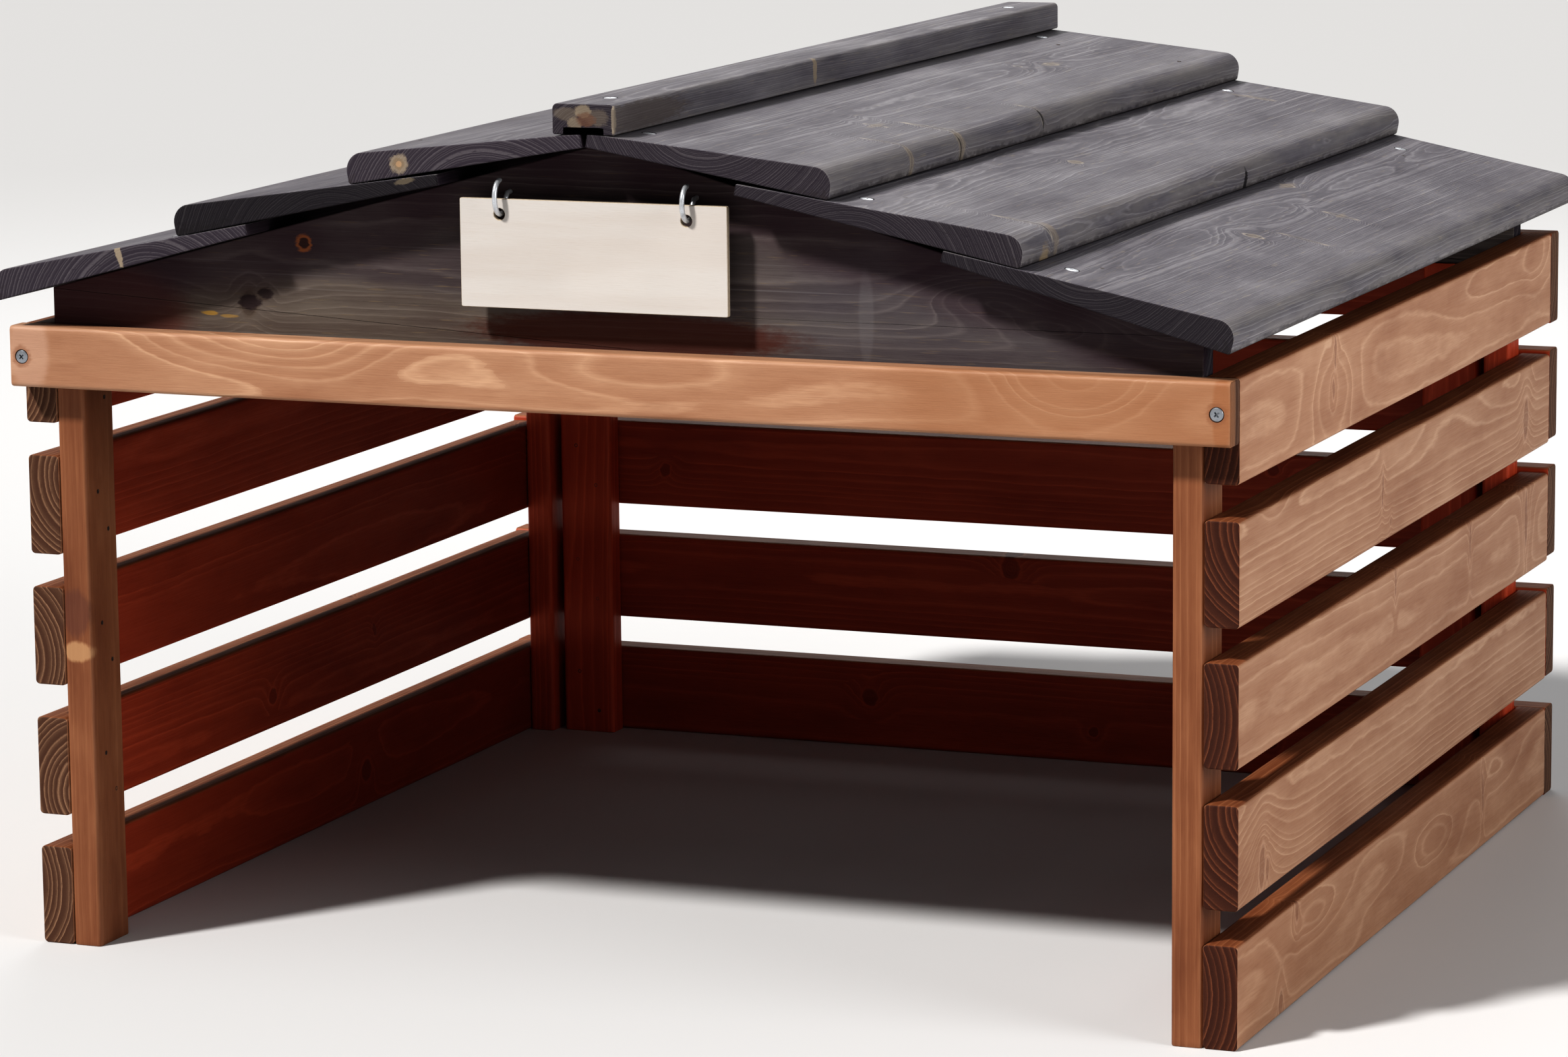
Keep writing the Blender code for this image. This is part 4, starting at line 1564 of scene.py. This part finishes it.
def wire(name, centre_line, radii, material):
    """A round wire through the points, with its radius at each."""
    curve = bpy.data.curves.new(name, "CURVE")
    curve.dimensions = "3D"
    curve.bevel_depth = 1.0
    curve.bevel_resolution = 6
    curve.use_fill_caps = True
    spline = curve.splines.new("POLY")
    spline.points.add(len(centre_line) - 1)
    for point, place, radius in zip(spline.points, centre_line, radii):
        point.co = (*place, 1)
        point.radius = radius
    holder = linked(name, curve)
    mesh = evaluated_mesh(holder)
    bpy.data.objects.remove(holder, do_unlink=True)
    mesh.materials.clear()
    mesh.materials.append(material)
    smooth(mesh, 50)
    return linked(name, mesh)


def hooks():
    for side, sign in (("left", -1), ("right", 1)):
        x = sign * HOOK_X
        shank_z = HOOK_RING_Z + HOOK_SHANK_ABOVE_RING
        line = [
            (x, WALL_FRONT + 0.002, shank_z),
            (x, WALL_FRONT, shank_z),
            (x, WALL_FRONT - 0.0045, shank_z - 0.0004),
        ]
        for step in range(HOOK_STEPS + 1):
            angle = HOOK_START - HOOK_SWEEP * step / HOOK_STEPS
            y = HOOK_RING_Y + HOOK_RING_HALF_DEPTH * cos(angle)
            z = HOOK_RING_Z + HOOK_RING_HALF_HEIGHT * sin(angle)
            line.append((x, y, z))
        radii = [HOOK_WIRE_RADIUS] * len(line)
        for back, share in ((1, 0.55), (2, 0.85), (3, 0.96)):
            radii[-back] = HOOK_WIRE_RADIUS * share
        made = wire(f"{side}_hook_wire", line, radii, ZINC)
        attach(made, "shelter")
        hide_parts(f"{side}_hook")


def sign_plate():
    """The plate, built as its outline with two holes, filled and thickened."""
    low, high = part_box("sign_plate")
    pivot_z = HOOK_RING_Z - HOOK_RING_HALF_HEIGHT
    centre = Vector(((low.x + high.x) / 2, (low.z + high.z) / 2))

    def loops(inset):
        corners = rectangle(high.x - low.x - 2 * inset, high.z - low.z - 2 * inset, SIGN_CORNER_RADIUS)
        found = [[point + centre for point in outline(corners)]]
        turns = [2 * pi * step / SIGN_HOLE_STEPS for step in range(SIGN_HOLE_STEPS)]
        for sign in (-1, 1):
            middle = Vector((sign * HOOK_X, pivot_z))
            found.append([middle + Vector((cos(a), sin(a))) * (SIGN_HOLE_RADIUS + inset) for a in turns])
        return found

    builder = bmesh.new()
    layers = []
    levels = ((low.y, SIGN_EASED), (low.y + SIGN_EASED, 0), (high.y - SIGN_EASED, 0), (high.y, SIGN_EASED))
    for y, inset in levels:
        layers.append([[builder.verts.new((p.x, y, p.y)) for p in loop] for loop in loops(inset)])
    for first, second in zip(layers, layers[1:]):
        for loop_a, loop_b in zip(first, second):
            for index in range(len(loop_a)):
                following = (index + 1) % len(loop_a)
                face = builder.faces.new((loop_a[index], loop_a[following], loop_b[following], loop_b[index]))
                face.material_index = 1
    for layer in (layers[0], layers[-1]):
        edges = []
        for loop in layer:
            for index in range(len(loop)):
                edges.append(builder.edges.get((loop[index], loop[(index + 1) % len(loop)])))
        bmesh.ops.triangle_fill(builder, edges=edges, use_beauty=True)
    bmesh.ops.recalc_face_normals(builder, faces=builder.faces[:])
    materials = (plywood_face_material(), plywood_edge_material(low.y, high.y - low.y))
    made = new_object("sign_plate_ply", builder, materials)
    smooth(made.data, 30)
    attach(made, "sign")
    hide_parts("sign_plate")


# ---------------------------------------------------------------- stage


def floor_material():
    material, _, shader = new_material("floor_paint")
    shader.inputs["Base Color"].default_value = (0.60, 0.60, 0.605, 1)
    shader.inputs["Roughness"].default_value = 0.8
    return material


WORLD_STRENGTH = 0.18
SUN_STRENGTH = 3.35
SUN_TRAVEL = (0.70, 1.0, -1.32)
SUN_DISTANCE = 4.0
LIT_HEIGHT = 0.3
# Each soft light's direction of travel, distance, diameter and power.
FILLS = {
    "right_fill": ((-1.0, 0.28, -0.35), 3.6, 2.0, 48),
    "rear_fill": ((0.35, -1.0, -0.75), 3.8, 2.0, 24),
}


def place_light(light, travel, distance):
    """Sets a light at a distance from the object, shining along travel."""
    direction = Vector(travel).normalized()
    holder = linked(light.name, light)
    holder.location = Vector((0, 0, LIT_HEIGHT)) - direction * distance
    holder.rotation_euler = direction.to_track_quat("-Z", "Y").to_euler()


def stage():
    builder = bmesh.new()
    bmesh.ops.create_grid(builder, x_segments=1, y_segments=1, size=30)
    floor_object = new_object("floor", builder, (floor_material(),))

    world = bpy.data.worlds.new("studio")
    bpy.context.scene.world = world
    world.use_nodes = True
    background = world.node_tree.nodes["Background"]
    background.inputs["Color"].default_value = (1.0, 1.0, 1.0, 1)
    background.inputs["Strength"].default_value = WORLD_STRENGTH

    sun = bpy.data.lights.new("key", "SUN")
    sun.energy = SUN_STRENGTH
    sun.angle = radians(6)
    sun.color = (1.0, 0.98, 0.95)
    place_light(sun, SUN_TRAVEL, SUN_DISTANCE)
    for name, (travel, distance, size, energy) in FILLS.items():
        light = bpy.data.lights.new(name, "AREA")
        light.shape = "DISK"
        light.size = size
        light.energy = energy
        place_light(light, travel, distance)


CAMERA_PLACE = Vector((1.4538, -3.7192, 0.9400))
CAMERA_TARGET = Vector((0.0220, -0.1528, 0.2761))
CAMERA_ROLL = radians(-0.58)
CAMERA_LENS = 127.4


def camera():
    data = bpy.data.cameras.new("camera")
    data.lens = CAMERA_LENS
    data.sensor_width = 36.0
    data.clip_end = 100
    holder = linked("camera", data)
    turned = (CAMERA_TARGET - CAMERA_PLACE).to_track_quat("-Z", "Y").to_matrix().to_4x4()
    holder.matrix_world = Matrix.Translation(CAMERA_PLACE) @ turned @ Matrix.Rotation(CAMERA_ROLL, 4, "Z")
    bpy.context.scene.camera = holder


walls()
wall_brads()
front_rail()
gables()
rafters()
roof_boards()
roof_brads()
ridge_batten()
hooks()
sign_plate()
stage()
camera()
bpy.context.scene.view_settings.view_transform = "Standard"
bpy.context.scene.view_settings.look = "High Contrast"
